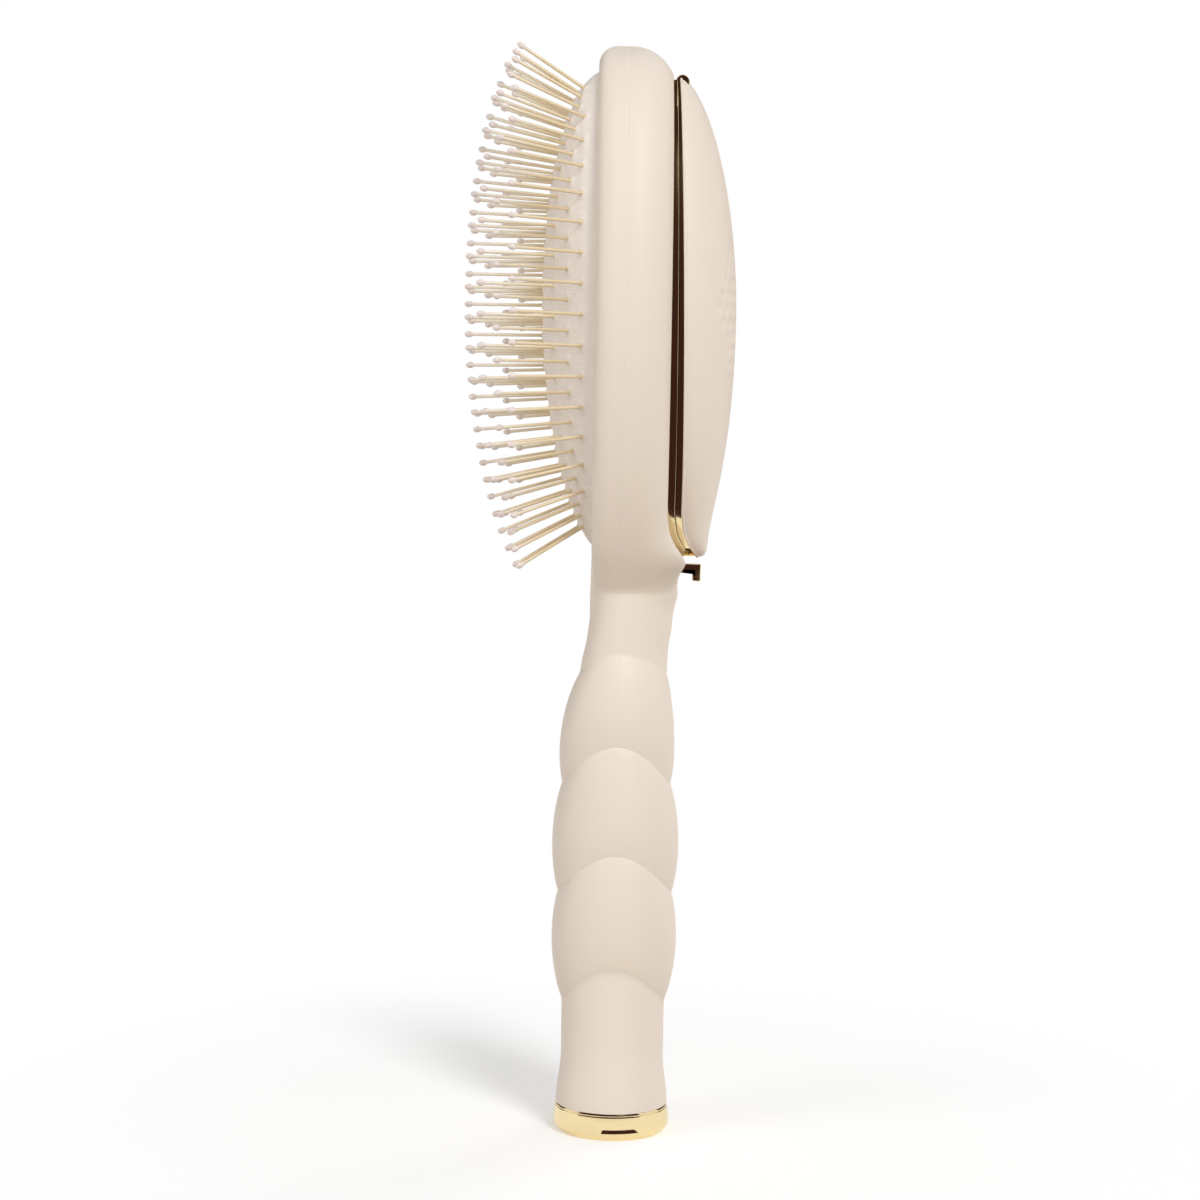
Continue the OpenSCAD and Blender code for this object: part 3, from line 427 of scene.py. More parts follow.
def body_depth(s, side):
    """Depth in front of or behind the parting line: the leaning handle, then the neck's tables."""
    shift = (NECK_BACK - NECK_R) * np.clip((s - CREASES[2]) / (NECK_Z - CREASES[2]), 0, 1) ** 3
    t = np.clip((s - NECK_Z) / (SHOULDER_Z - NECK_Z), 0, 1)
    if side > 0:
        top = NECK_BACK + SHOULDER_SHARE * (SHOULDER_BACK - NECK_BACK)
        line = np.where(
            t < SHOULDER_TOP,
            NECK_BACK + (SHOULDER_BACK - NECK_BACK) * back_rise(t),
            HEAD_BACK + (top - HEAD_BACK) / SHOULDER_SHARE * back_slope(t),
        )
        low = handle_radius(np.minimum(s, NECK_Z)) + shift
    else:
        rise = (2 * NECK_R - NECK_BACK - NECK_FRONT) / 0.8
        line = NECK_FRONT + rise * front_swell(t)
        low = handle_radius(np.minimum(s, NECK_Z)) - shift
    return np.where(s <= NECK_Z, low, line)


def head_section(j, side, depth):
    """Section of the head over the column number j, 0 on the centre line and 8 on the parting
    line, as (inset from the edge, depth). A flat, an arc and, in front, a short straight wall."""
    if side < 0:
        r, d = FRONT_EDGE, HEAD_FRONT - FRONT_EDGE
        flat = smooth_table([(0, HEAD_HALF), (1, HEAD_HALF * FLAT_SHARE), (2, 9.6), (3, r)])
        a = np.radians(30 * (np.clip(j, 3, 6) - 3))
        inset = np.where(j < 3, flat(j), np.where(j < 6, r * (1 - np.sin(a)), 0))
        y = np.where(j < 3, d + r, np.where(j < 6, d + r * np.cos(a), d * (8 - j) / 2))
        return inset, np.broadcast_to(y, np.broadcast_shapes(np.shape(y), np.shape(depth)))
    base, r = BACK_WALL, BACK_EDGE
    top, a0 = HEAD_BACK - BACK_WALL, BACK_ANGLE
    flat = smooth_table([(0, HEAD_HALF), (1, HEAD_HALF * FLAT_SHARE), (2, 10.4), (3, BACK_CORNER)])
    a = a0 + (np.pi / 2 - a0) * (np.clip(j, 3, 7) - 3) / 4
    k = (depth - base) / top
    inset = np.where(j < 3, flat(j), np.where(j < 7, r * (1 - np.sin(a)), 0))
    y = np.where(j < 3, depth, np.where(j < 7, base + r * np.cos(a) * k, base * (8 - j)))
    return inset, y


def skin_rows(side, hole_b, hole_c):
    """Rows of the skin as (level, angle round the crown), 90 degrees below the head's centre."""
    flare_z1 = CAP_H + FLARE_LEN
    rows = [CAP_H + FLARE_LEN * np.linspace(0, 1, FLARE_ROWS, endpoint=False)]
    rows.append(np.linspace(flare_z1, CREASES[0], STEM_ROWS, endpoint=False))
    rows += [mix(z0, z1, cosine_steps(BUBBLE_ROWS))[:-1] for z0, z1 in zip(CREASES, CREASES[1:])]
    rows.append(np.linspace(NECK_Z, HEAD_ROWS_Z0, NECK_ROWS, endpoint=False))
    low = np.linspace(HEAD_ROWS_Z0, hole_c - hole_b, LOW_ROWS, endpoint=False)
    if side > 0:
        low = low[np.abs(low - SLOT_Z0) > ROW_GAP]
        low = np.unique(np.round(np.concatenate([low, (SLOT_Z0, SLOT_Z1)]), 4))
        low = low[(np.abs(low - SLOT_Z1) > ROW_GAP) | (low == SLOT_Z1)]
    rows.append(low)
    rows.append(hole_c - hole_b * np.cos(np.linspace(0, math.acos((hole_c - HEAD_C) / hole_b), CROWN_ROWS)))
    s = np.concatenate(rows)
    crown = 90 * (1 - np.arange(1, CROWN_ROWS + 1) / CROWN_ROWS)
    th = np.concatenate([np.full(len(s), 90.0), crown])
    return np.concatenate([s, np.full(CROWN_ROWS, HEAD_C)]), th


def skin_grid(side, hole_a, hole_b, hole_c):
    """One side (x above 0) of a half of the body, as a grid from the parting line in to the
    centre line or to the oval hole. Low rows are half ellipses that swing up at the sides; head
    rows are the head section; between them the two are mixed by an eased share of the neck."""
    s, th = skin_rows(side, hole_b, hole_c)
    parting = 8 - 0.5 * np.linspace(0, 1, PARTING_COLUMNS) ** 2
    wall, flat = np.linspace(7.5, 3, WALL_COLUMNS + 1)[1:], np.linspace(3, 0, FLAT_COLUMNS + 1)[1:]
    j = np.concatenate([parting, wall, flat])[None, :]
    s, th = s[:, None], np.radians(th)[:, None]
    if side > 0:
        j = slot_columns(s, j)
    w = body_half_width(s)
    depth = body_depth(s, side)
    fi = np.radians(90 * (1 - j / 8))
    rise = SADDLE * saddle_rise(s) * np.where(s < HEAD_Z0, 1, 0)
    around = points_of(w * np.cos(fi), side * depth * np.sin(fi), s + rise * np.cos(2 * fi))
    inset, y = head_section(j, side, depth)
    above = th < np.radians(89.999)
    corner = FRONT_EDGE if side < 0 else BACK_CORNER
    q = np.clip((HEAD_HALF - inset) / (HEAD_HALF - corner), 0, 1)
    x_edge = w * (1 - inset / HEAD_HALF) * np.sin(th)
    z_edge = np.where(above, HEAD_C + (HEAD_UP - inset) * np.cos(th), s)
    x_c = w * (1 - corner / HEAD_HALF) * np.sin(th)
    z_c = np.where(above, HEAD_C + (HEAD_UP - corner) * np.cos(th), s)
    g0 = math.asin((HEAD_C - hole_c) / hole_b)
    g = mix(g0, np.pi / 2, 1 - th / (np.pi / 2))
    x_low = hole_a * np.sqrt(np.clip(1 - ((s - hole_c) / hole_b) ** 2, 0, None))
    x_in = np.where(above, hole_a * np.cos(g), x_low)
    z_in = np.where(above, hole_c + hole_b * np.sin(g), s)
    flat = j < 3
    x_head = np.where(flat, mix(x_in, x_c, q), x_edge)
    z_head = np.where(flat, mix(z_in, z_c, q), z_edge)
    head = points_of(x_head, side * y, z_head)
    t = np.clip((s - NECK_Z) / (SHOULDER_Z - NECK_Z), 0, 1)
    m = ease((t - BLEND[0]) / BLEND[1])[..., None]
    p = mix(around, head, m)
    on_middle = (j < 1e-9) & (x_in * m[..., 0] <= 1e-6)
    p[..., 0] = np.where(on_middle, 0, p[..., 0])
    return p, s[:, 0], np.degrees(th[:, 0])


def slot_columns(s, j):
    """Shifts the inner columns in the rows round the hook's slot, so that one column runs along
    the slot's side: its number is where the row's half width, read along the row, is the slot's."""
    (start, up), (end, down) = SLOT_NEAR
    near = ease((s - start) / up) * ease((end - s) / down)
    w = body_half_width(s)
    t = np.clip((s - NECK_Z) / (SHOULDER_Z - NECK_Z), 0, 1)
    m = ease((t - BLEND[0]) / BLEND[1])
    fine = np.linspace(0, 8, 801)[None, :]
    inset, _ = head_section(fine, 1, body_depth(s, 1))
    x = mix(w * np.cos(np.radians(90 * (1 - fine / 8))), w * (1 - inset / HEAD_HALF), m)
    at = np.argmax(x >= SLOT_HALF, axis=1)[:, None]
    x1, x0 = np.take_along_axis(x, at, 1), np.take_along_axis(x, np.maximum(at - 1, 0), 1)
    want = (at - 1 + (SLOT_HALF - x0) / np.maximum(x1 - x0, 1e-9)) / 100
    own = j[0, -SLOT_COLUMNS]
    below = np.where(j <= own, j / own * want, want + (j - own) / (8 - own) * (8 - want))
    return mix(j, below, near)


def body_half(side):
    """Both mirrored sides of a half of the body with the parting groove drawn in, plus the lip
    that turns in round the cushion's opening or the walls of the hook's slot."""
    near, far = LIP_GAP + LIP_R, BACK_HOLE_INSET
    hole = (PAD_A + near, PAD_B + near, PAD_C) if side < 0 else (BEZEL_A - far, BEZEL_B - far, HEAD_C)
    p, s, th = skin_grid(side, *hole)
    n = grid_normals(p, (len(p) // 3, 5), 0, 1)
    low, high = GROOVE_DEPTH
    start, way = GROOVE_CHANGE
    depth = mix(low, high, ease((p[..., 2] - start) / way))
    groove = np.exp(-((p[..., 1] / GROOVE_HALF) ** 2)) * depth
    p = p - n * groove[..., None] * np.array([1, 0, 1])
    rows, cols = p.shape[:2]
    keep = np.ones((rows - 1, cols - 1), bool)
    parts = []
    if side > 0:
        k = cols - SLOT_COLUMNS
        in_rows = (s[:-1] >= SLOT_Z0 - 1e-3) & (s[1:] <= SLOT_Z1 + 1e-3) & (th[1:] > 89.9)
        keep[np.ix_(in_rows, np.arange(cols - 1) >= k)] = False
        r = np.flatnonzero(in_rows)
        lo, hi = r[0], r[-1] + 1
        edge = np.concatenate([p[lo, k:][::-1], p[lo + 1 : hi, k], p[hi, k:]])
        deep = edge.copy()
        deep[:, 1] = SLOT_DEEP
        wall = np.stack([edge, mix(edge, deep, 0.08), deep])
        parts += [(wall, grid_quads(3, len(edge))), (wall * [-1, 1, 1], grid_quads(3, len(edge), turn=True))]
    q = grid_quads(rows, cols)[keep.reshape(-1)]
    parts += [(p, q if side < 0 else q[:, ::-1]), (p * [-1, 1, 1], q[:, ::-1] if side < 0 else q)]
    if side < 0:
        lip = [*zip(*corner(LIP_R, 6)), (0, LIP_DEEP)]
        turns = full_turn(RING_SIDES)
        ring = sweep_ring(lip, PAD_A + LIP_GAP, PAD_B + LIP_GAP, PAD_C, -HEAD_FRONT, turns)
        parts.append((ring, grid_quads(RING_SIDES, len(lip), wrap_rows=True)))
    return parts


# Cushion and pins ------------------------------------------------------------------------------


def pad_crown(p, a):
    """Crown of the cushion at the share p of the way out in the direction a: one less p to a power
    near two, raised to a power under one, so that the sides stand up steeply."""
    up = np.clip(np.sin(a), 0, None)
    (round_low, round_up), (steep_low, steep_up) = PAD_ROUND, PAD_STEEP
    inner = 1 - np.clip(p, 0, 1) ** (round_low + round_up * up)
    return np.clip(inner, 0, None) ** (steep_low - steep_up * up)


def pad_height(x, z):
    """Height of the cushion over the rim at a place: its crown at that place's share of the oval."""
    u, v = x / PAD_A, (z - PAD_C) / PAD_B
    return PAD_CROWN * pad_crown(np.hypot(u, v), np.arctan2(v, u))


def pin_layout():
    """Places, leans and turns of the pins: rows a half pitch apart that squeeze together towards
    both ends, six and three to a row in turn, spread over the width of the oval at that row."""
    pin_a, pin_b = PAD_A - PIN_INSET[0], PAD_B - PIN_INSET[1]
    first, last = PIN_ROWS
    rows = []
    for n in range(first, last + 1):
        h = n / 2
        z = HEAD_C - PIN_DOWN + PIN_PITCH * h * (1 - PIN_CLOSING * h * h)
        edge = pin_a * math.sqrt(max(0.0, 1 - ((z - PAD_C) / pin_b) ** 2))
        wide, some = edge > PIN_PITCH * 1.65, edge > PIN_PITCH * 0.8
        count = (3 if some else 1) if n % 2 else 6 if wide else 4 if some else 2
        share = np.linspace(-1, 1, count) if count > 1 else np.zeros(1)
        squeeze = PIN_SQUEEZE if count < 5 else 1
        way = n / (-first if n < 0 else last)
        rows.append(np.stack([share * edge * squeeze, np.full(count, z), np.full(count, way)], 1))
    at = np.concatenate(rows)
    power = np.where(at[:, 2] < 0, *LEAN_POWER)
    lean = np.radians(PIN_LEAN * np.abs(at[:, 2]) ** power * np.sign(at[:, 2]))
    turn = np.radians(PIN_TURN * at[:, 0] / pin_a)
    out = np.stack([np.cos(lean) * np.sin(turn), -np.cos(lean) * np.cos(turn), np.sin(lean)], 1)
    root = np.stack([at[:, 0], -(HEAD_FRONT + pad_height(at[:, 0], at[:, 1])), at[:, 1]], 1)
    side = np.cross(out, [0, 0, 1.0])
    side /= np.linalg.norm(side, axis=1, keepdims=True)
    return root, out, side, np.cross(side, out)


def on_pins(profile, sides):
    """A (radius, along) profile turned round every pin's own axis at once."""
    root, out, u, v = (way[:, None, None] for way in pin_layout())
    prof = np.asarray(profile, float)
    g = full_turn(sides)[None, None, :, None]
    r, along = prof[None, :, None, :1], prof[None, :, None, 1:]
    p = root + (u * np.cos(g) + v * np.sin(g)) * r + out * along
    one = grid_quads(len(prof), sides, wrap_cols=True)
    q = (one[None] + (np.arange(len(root)) * len(prof) * sides)[:, None, None]).reshape(-1, 4)
    return p.reshape(-1, 3), q


def cushion_surface():
    """The dome on a polar grid, with a low moulded collar round each pin that falls off as a bell
    curve of the distance to the pin's root, and a skirt that tucks in under the rim."""
    g = full_turn(DOME_SIDES)[None, :]
    share = np.sin(np.linspace(0, np.pi / 2, DOME_ROWS)) ** DOME_SPREAD
    share[0] = 0
    p = share[:, None]
    x, z = PAD_A * p * np.cos(g), PAD_C + PAD_B * p * np.sin(g)
    deep, start, way = PAD_TUCK
    tuck = deep * ease((p - start) / way)
    y = -(HEAD_FRONT - tuck + PAD_CROWN * pad_crown(p, np.broadcast_to(g, x.shape)))
    dome = points_of(x, y, z)
    normal = grid_normals(dome, (20, 0), 1, -1)
    root = pin_layout()[0]
    (rise, reach), (fall, away, wide) = COLLAR, MOAT
    flat = dome.reshape(-1, 3)
    lift = np.zeros(len(flat))
    for k in range(0, len(flat), 4000):
        d = np.linalg.norm(flat[k : k + 4000, None] - root[None], axis=2)
        near = d.min(1)
        collar, moat = np.exp(-((near / reach) ** 4)), np.exp(-(((near - away) / wide) ** 2))
        lift[k : k + 4000] = rise * collar - fall * moat
    dome = (flat + normal.reshape(-1, 3) * lift[:, None]).reshape(dome.shape)
    rim = dome[-1][None] + np.array([0, 1, 0]) * np.array(PAD_SKIRT)[:, None, None]
    sheet = np.concatenate([dome, rim])
    return sheet, grid_quads(len(sheet), DOME_SIDES, wrap_cols=True)


# Back: bezel, lid and latch --------------------------------------------------------------------


def taper(z):
    """Height share of the gold rings: whole low down, and half of it at the top, less by a power
    of the way up."""
    way = (z - HEAD_C + TAPER_FROM * BEZEL_B) / ((1 + TAPER_FROM) * BEZEL_B)
    return 1 - TRIM_TAPER * np.clip(way, 0, 1) ** TAPER_POWER


def seat_level(z):
    """Level of the head's back under the bezel: flat, and the shoulder's slope at the lower end."""
    return np.where(z > SHOULDER_Z, HEAD_BACK, body_depth(np.minimum(z, SHOULDER_Z), 1))


def lid_edge(z):
    """Level of the lid's edge: seat, bezel, seam and rim, one on the other."""
    return seat_level(z) + (BEZEL_T + RIM_T) * taper(z) + SEAM


def lid_crown(p, a):
    """Crown of the lid: one less p squared, to a power that is low at the foot and high at the top."""
    side, top, foot = LID_POWER
    power = side + top * np.clip(np.sin(a), 0, None) - foot * np.clip(-np.sin(a), 0, None)
    return np.clip(1 - p * p, 0, None) ** power


def relief(x, z, depth):
    """Generic relief: rows of small round dimples, each a shallow bowl, set in a lozenge. They are
    smaller towards its two tips."""
    rise = DIMPLE_PITCH * 0.866
    u, v = x / DIMPLE_PITCH, (z - HEAD_C - 1) / rise
    row = np.round(v)
    shift = np.where(row % 2 == 0, 0.0, 0.5)
    cu = np.round(u - shift) + shift
    d = np.hypot((u - cu) * DIMPLE_PITCH, (v - row) * rise)
    radius = DIMPLE_R * (1 - 0.4 * np.abs(row) / DIMPLE_ROWS)
    inside = (np.abs(row) <= DIMPLE_ROWS) & (np.abs(cu) <= 0.1 + 0.58 * (DIMPLE_ROWS - np.abs(row)))
    return np.where(inside, -depth * np.clip(1 - (d / radius) ** 2, 0, None) ** 0.8, 0)


def lid_surface(depth):
    """Lid cover: outer crown on a polar grid with the relief on it, an edge that rolls under, and
    the inner crown one wall further in, as one closed skin."""
    g = full_turn(LID_SIDES)[None, :]

    def layer(a, b, h, shares):
        p = shares[:, None]
        x, z = a * p * np.cos(g), HEAD_C + b * p * np.sin(g)
        base = mix(lid_edge(np.array(HEAD_C)), lid_edge(HEAD_C + b * np.sin(g)), p**12)
        return points_of(x, base + SEAM / 2 + h * lid_crown(p, g), z)

    share = np.sin(np.linspace(0, np.pi / 2, LID_ROWS))
    outer = layer(COVER_A - LID_EDGE, COVER_B - LID_EDGE, LID_CROWN, share)
    nrm = grid_normals(outer, (30, 0), 1, 1)
    outer = outer + nrm * relief(outer[..., 0], outer[..., 2], depth)[..., None]
    c = np.stack([np.cos(g[0]) / COVER_A, np.sin(g[0]) / COVER_B], 1)
    c /= np.linalg.norm(c, axis=1, keepdims=True)
    edge = outer[-1]
    t = np.linspace(0, np.pi, 9)[1:, None]
    way = LID_EDGE * np.sin(t)
    y = edge[:, 1] - LID_EDGE + LID_EDGE * np.cos(t)
    roll = np.stack([edge[:, 0] + c[:, 0] * way, y, edge[:, 2] + c[:, 1] * way], -1)
    inner = layer(COVER_A - LID_WALL, COVER_B - LID_WALL, LID_CROWN - LID_WALL, share[::-2])
    sheet = np.concatenate([outer, roll, inner])
    sheet[-1] = sheet[-1].mean(0)
    return sheet, grid_quads(len(sheet), LID_SIDES, wrap_cols=True)


def ring_turns(gap):
    """Directions round the ring, from one side of the hinge's gap down and round to the other."""
    start = math.acos(gap / BEZEL_A)
    return np.linspace(math.pi - start, 2 * math.pi + start, TRIM_STEPS)


def box_part(x, y0, y1, z0, z1, edge=0.12):
    """A block about the middle plane with rounded edges, as a bar along X."""
    o = rounded([(y0, z0), (y1, z0), (y1, z1), (y0, z1)], edge, 3)
    return bar_of(o, x, edge)


def barrel(x0, x1, r, y, z, edge=0.2):
    """A hinge barrel along X with rounded ends."""
    short, inset = corner(edge)
    side = r - short
    prof = [(0, x0), *zip(side, x0 + inset), *zip(side[::-1], x1 - inset[::-1]), (0, x1)]
    return turned(prof, (0, y, z), "x", 48)


# Materials -------------------------------------------------------------------------------------


def feed(tree, node, inputs):
    """Gives each named input of a node its value, or a link where the value is a socket."""
    for key, value in inputs.items():
        if isinstance(value, bpy.types.NodeSocket):
            tree.links.new(value, node.inputs[key])
        else:
            node.inputs[key].default_value = value
    return node


def add_node(tree, kind, inputs=None, **settings):
    """Adds a shader node, sets its own settings and feeds its inputs."""
    node = tree.nodes.new("ShaderNode" + kind)
    for key, value in settings.items():
        setattr(node, key, value)
    return feed(tree, node, inputs or {})


def new_group(name, inputs, outputs):
    """An empty shader group with the named sockets, and its two end nodes."""
    group = bpy.data.node_groups.new(name, "ShaderNodeTree")
    group.interface.new_socket(name="Vector", in_out="INPUT", socket_type="NodeSocketVector")
    for label, default in inputs.items():
        socket = group.interface.new_socket(name=label, in_out="INPUT", socket_type="NodeSocketFloat")
        socket.default_value = default
    for label in outputs:
        group.interface.new_socket(name=label, in_out="OUTPUT", socket_type="NodeSocketFloat")
    return group, group.nodes.new("NodeGroupInput").outputs, group.nodes.new("NodeGroupOutput")


def mixed(tree, share, a, b):
    """Output of a node that mixes the colours a and b by the share."""
    inputs = {"Factor": share, "A": a, "B": b}
    return add_node(tree, "Mix", inputs, data_type="RGBA").outputs["Result"]


def tree_of(owner, clear=False):
    """Node tree of a material or of the world, emptied where asked."""
    owner.use_nodes = True
    if clear:
        owner.node_tree.nodes.clear()
    return owner.node_tree


def moulded_grain():
    """Group: fine moulded grain. Two noises of different size give a height, a mask that varies
    slowly for colour and a roughness that wanders about its own value."""
    inputs = {"Grain Scale": 2600.0, "Roughness": 0.5, "Roughness Spread": 0.06}
    group, given, out = new_group("Moulded Grain", inputs, ("Height", "Mottle", "Roughness"))
    place = given["Vector"]
    fine = add_node(group, "TexNoise", {"Vector": place, "Scale": given["Grain Scale"], "Detail": 3})
    broad = add_node(group, "TexNoise", {"Vector": place, "Scale": 28, "Detail": 2})
    centred = add_node(group, "Math", {0: broad.outputs["Fac"], 1: 0.5}, operation="SUBTRACT")
    spread = {0: centred.outputs[0], 1: given["Roughness Spread"], 2: given["Roughness"]}
    rough = add_node(group, "Math", spread, operation="MULTIPLY_ADD").outputs[0]
    feed(group, out, {"Height": fine.outputs["Fac"], "Mottle": broad.outputs["Fac"], "Roughness": rough})
    return group


def fine_lines():
    """Group: fine lines along one direction, for brushed metal and for the cushion's ribbing."""
    group, given, out = new_group("Fine Lines", {"Pitch Scale": 700.0, "Breakup": 1.5}, ("Height",))
    bands = {"Vector": given["Vector"], "Scale": given["Pitch Scale"], "Distortion": given["Breakup"]}
    bands |= {"Detail": 1, "Detail Scale": 2}
    wave = add_node(group, "TexWave", bands, wave_type="BANDS", bands_direction="Z")
    feed(group, out, {"Height": wave.outputs["Fac"]})
    return group


GROUPS = {}


def group_node(tree, name, inputs):
    """Places a shared group in a material with its own values, making the group the first time."""
    if name not in GROUPS:
        GROUPS[name] = {"Moulded Grain": moulded_grain, "Fine Lines": fine_lines}[name]()
    return add_node(tree, "Group", inputs, node_tree=GROUPS[name])


@dataclass
class Finish:
    """What a finish is made of. Plain values go on the shader's own sockets."""

    name: str
    roughness: float
    metallic: float = 0.0
    spread: float = 0.06  # how far the roughness wanders
    mottle: float = 0.03  # how far the colour drifts, as a share
    grain: float = 2600.0  # scale of the moulded grain
    depth: float = 0.02  # depth of the grain in millimetres
    lines: tuple = ()  # depth of the fine lines in millimetres, and their scale
    plain: dict = field(default_factory=dict)


def finish_of(kind, colour, lit_end=None):
    """A finish: the colour drifts a little lighter and darker with the broad noise, roughness
    wanders, and the grain and lines feed a bump. With a second colour given, the colour also
    turns to it along the pins, towards their balls: painted light, for light let through them there."""
    m = bpy.data.materials.new(kind.name)
    t = tree_of(m)
    where = add_node(t, "TexCoord").outputs["Object"]
    grain = {"Grain Scale": kind.grain, "Roughness": kind.roughness, "Roughness Spread": kind.spread}
    g = group_node(t, "Moulded Grain", {"Vector": where, **grain})
    c = np.array(colour[:3])
    low, high = ((*np.clip(c * (1 + k), 0, 1), 1) for k in (-kind.mottle, kind.mottle))
    tone = mixed(t, g.outputs["Mottle"], low, high)
    # Painted light: the pins turn paler towards their balls, standing for light let through them
    if lit_end:
        along = add_node(t, "SeparateXYZ", {0: where}).outputs["Y"]
        fade = add_node(t, "MapRange", {"Value": along, "From Min": LIT_END_Y[0], "From Max": LIT_END_Y[1]})
        tone = mixed(t, fade.outputs["Result"], tone, (*lit_end, 1))
    height = {"Distance": kind.depth * MM, "Height": g.outputs["Height"]}
    normal = add_node(t, "Bump", {"Strength": 1.0, **height}).outputs["Normal"]
    if kind.lines:
        line_depth, scale = kind.lines
        f = group_node(t, "Fine Lines", {"Pitch Scale": scale, "Vector": where})
        height = {"Distance": line_depth * MM, "Height": f.outputs["Height"]}
        normal = add_node(t, "Bump", {"Normal": normal, **height}).outputs["Normal"]
    surface = {"Base Color": tone, "Roughness": g.outputs["Roughness"], "Normal": normal}
    feed(t, t.nodes["Principled BSDF"], {**surface, "Metallic": kind.metallic, **kind.plain})
    return m


def linear(rgb):
    """Screen colour, 0 to 255, to the linear values that shaders take."""
    c = np.array(rgb, float) / 255
    return np.where(c <= 0.04045, c / 12.92, ((c + 0.055) / 1.055) ** 2.4)


KINDS = {
    "shell": Finish("Soft Touch Coat", 0.5, spread=0.08, mottle=0.012, grain=3200, depth=0.004),
    "cushion_rubber": Finish(
        "Cushion Rubber", 0.62, mottle=0.015, grain=2200, depth=0.01, lines=(0.03, 640)
    ),
    "pin_shaft": Finish("Pin Shaft", 0.3, grain=1500, depth=0.003),
    "pin_ball": Finish("Pin Ball", 0.16, spread=0.03, mottle=0.02, grain=900, depth=0.002),
    "gold_metal": Finish("Gold Plating", 0.09, 1.0, spread=0.05, mottle=0.02, grain=1800, depth=0.0015),
    "bright_trim": Finish("Bright Ring", 0.07, 1.0, spread=0.03, mottle=0.01, grain=1800, depth=0.001),
    "lining": Finish("Inner Plastic", 0.55, mottle=0.02, grain=1400, depth=0.012),
    "steel": Finish("Plain Steel", 0.3, 1.0, spread=0.1, grain=2400, depth=0.003, lines=(0.004, 1500)),
}
KINDS["pin_ball"].plain.update({"Coat Weight": 0.5, "Coat Roughness": 0.08})
STEEL = (0.56, 0.56, 0.58)
FINISHES = {}


def finishes():
    """All the finishes of the brush, made once from the colours in the panel."""
    colours = bpy.context.scene.brush_colours
    if not FINISHES:
        for key, kind in KINDS.items():
            # The paler pin end is painted light, for light let through the pins near their balls
            lit_end = tuple(colours.pin_shaft_lit_end) if key == "pin_shaft" else None
            FINISHES[key] = finish_of(kind, getattr(colours, key, STEEL), lit_end)
    return FINISHES


# Settings --------------------------------------------------------------------------------------


def colour(name, about, *rgb):
    """A colour setting whose default is a screen colour."""
    default = tuple(float(v) for v in linear(rgb))
    return FloatVectorProperty(
        name=name, description=about, subtype="COLOR", size=3, min=0, max=1, default=default
    )


def length(name, about, default, least, most):
    """A length setting."""
    return FloatProperty(name=name, description=about, default=default, min=least, max=most, unit="LENGTH")


def power(name, about, default):
    """A lamp's power setting."""
    return FloatProperty(name=name, description=about, default=default, min=0, unit="POWER")


def angle(name, about, degrees):
    """An angle setting."""
    return FloatProperty(name=name, description=about, default=math.radians(degrees), subtype="ANGLE")


class BrushSizes(bpy.types.PropertyGroup):
    """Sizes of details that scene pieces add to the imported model."""

    relief_depth: length("Relief Depth", "Depth of the dimples on the lid", 0.0003, 0, 0.001)
    pin_radius: length("Pin Radius", "Radius of a pin's shaft", 0.000375, 0.0002, 0.0008)
    tip_radius: length("Tip Radius", "Radius of a pin's ball", 0.0007, 0.0005, 0.0014)
    trim_edge: length("Trim Edge", "Rounding of the gold rings' edges", 0.00022, 0.00005, 0.0004)
    cushion_fill: FloatProperty(
        name="Cushion Fill",
        description="How full the air cushion is",
        default=0.9,
        min=0,
        max=1,
        subtype="FACTOR",
    )


class BrushColours(bpy.types.PropertyGroup):
    """Colours of the finishes."""

    shell: colour("Shell", "Soft touch coat of the body and lid", 238, 227, 214)
    cushion_rubber: colour("Cushion", "Rubber of the air cushion", 246, 238, 231)
    pin_shaft: colour("Pin Shaft", "Pins", 232, 214, 178)
    # Painted light: the pins' paler colour near their balls stands for light let through them
    pin_shaft_lit_end: colour("Pin Shaft End", "Pins near their balls, which let light through", 246, 238, 222)
    pin_ball: colour("Pin Ball", "Ball tips of the pins", 240, 229, 224)
    gold_metal: colour("Gold", "Plated trim", 242, 222, 174)
    bright_trim: colour("Bright Ring", "Fine ring over the end cap", 236, 214, 170)
    lining: colour("Lining", "Inner plastic parts", 226, 212, 194)


class StudioSettings(bpy.types.PropertyGroup):
    """Light and camera of the studio."""

    key_power: power("Key Power", "Power of the large lamp", 25.2)
    fill_power: power("Fill Power", "Power of the lamp on the other side", 13.0)
    front_power: power("Front Power", "Power of the low lamp beside the camera", 12.0)
    back_power: power("Back Power", "Power of the lamp behind the brush", 14.0)
    ambient: FloatProperty(
        name="Ambient", description="Strength of the even light from all round", default=0.54, min=0, max=2
    )
    lens: FloatProperty(
        name="Lens", description="Focal length of the camera in millimetres", default=70.34, min=10, max=200
    )
    roll: angle("Roll", "Roll of the camera", 0.927)
    pitch: angle("Pitch", "How far the camera looks down", 2.94)


# Operators -------------------------------------------------------------------------------------


class DETANGLER_OT_body(bpy.types.Operator):
    """Make the front and rear skins of the one long body"""

    bl_idname = "detangler.body"
    bl_label = "Body Shells"

    def execute(self, context):
        for name, side, node in (("front_skin", -1, "front_shell"), ("rear_skin", 1, "rear_shell")):
            build_piece(name, body_half(side), "brush_body", "shell", 50, node)
        return {"FINISHED"}


class DETANGLER_OT_cushion(bpy.types.Operator):
    """Make the air cushion with its moulded collars"""

    bl_idname = "detangler.cushion"
    bl_label = "Cushion"

    def execute(self, context):
        dome = [cushion_surface()]
        pad = build_piece("air_cushion", dome, "brush_body", "cushion_rubber", 60, "cushion")
        return {"FINISHED"}


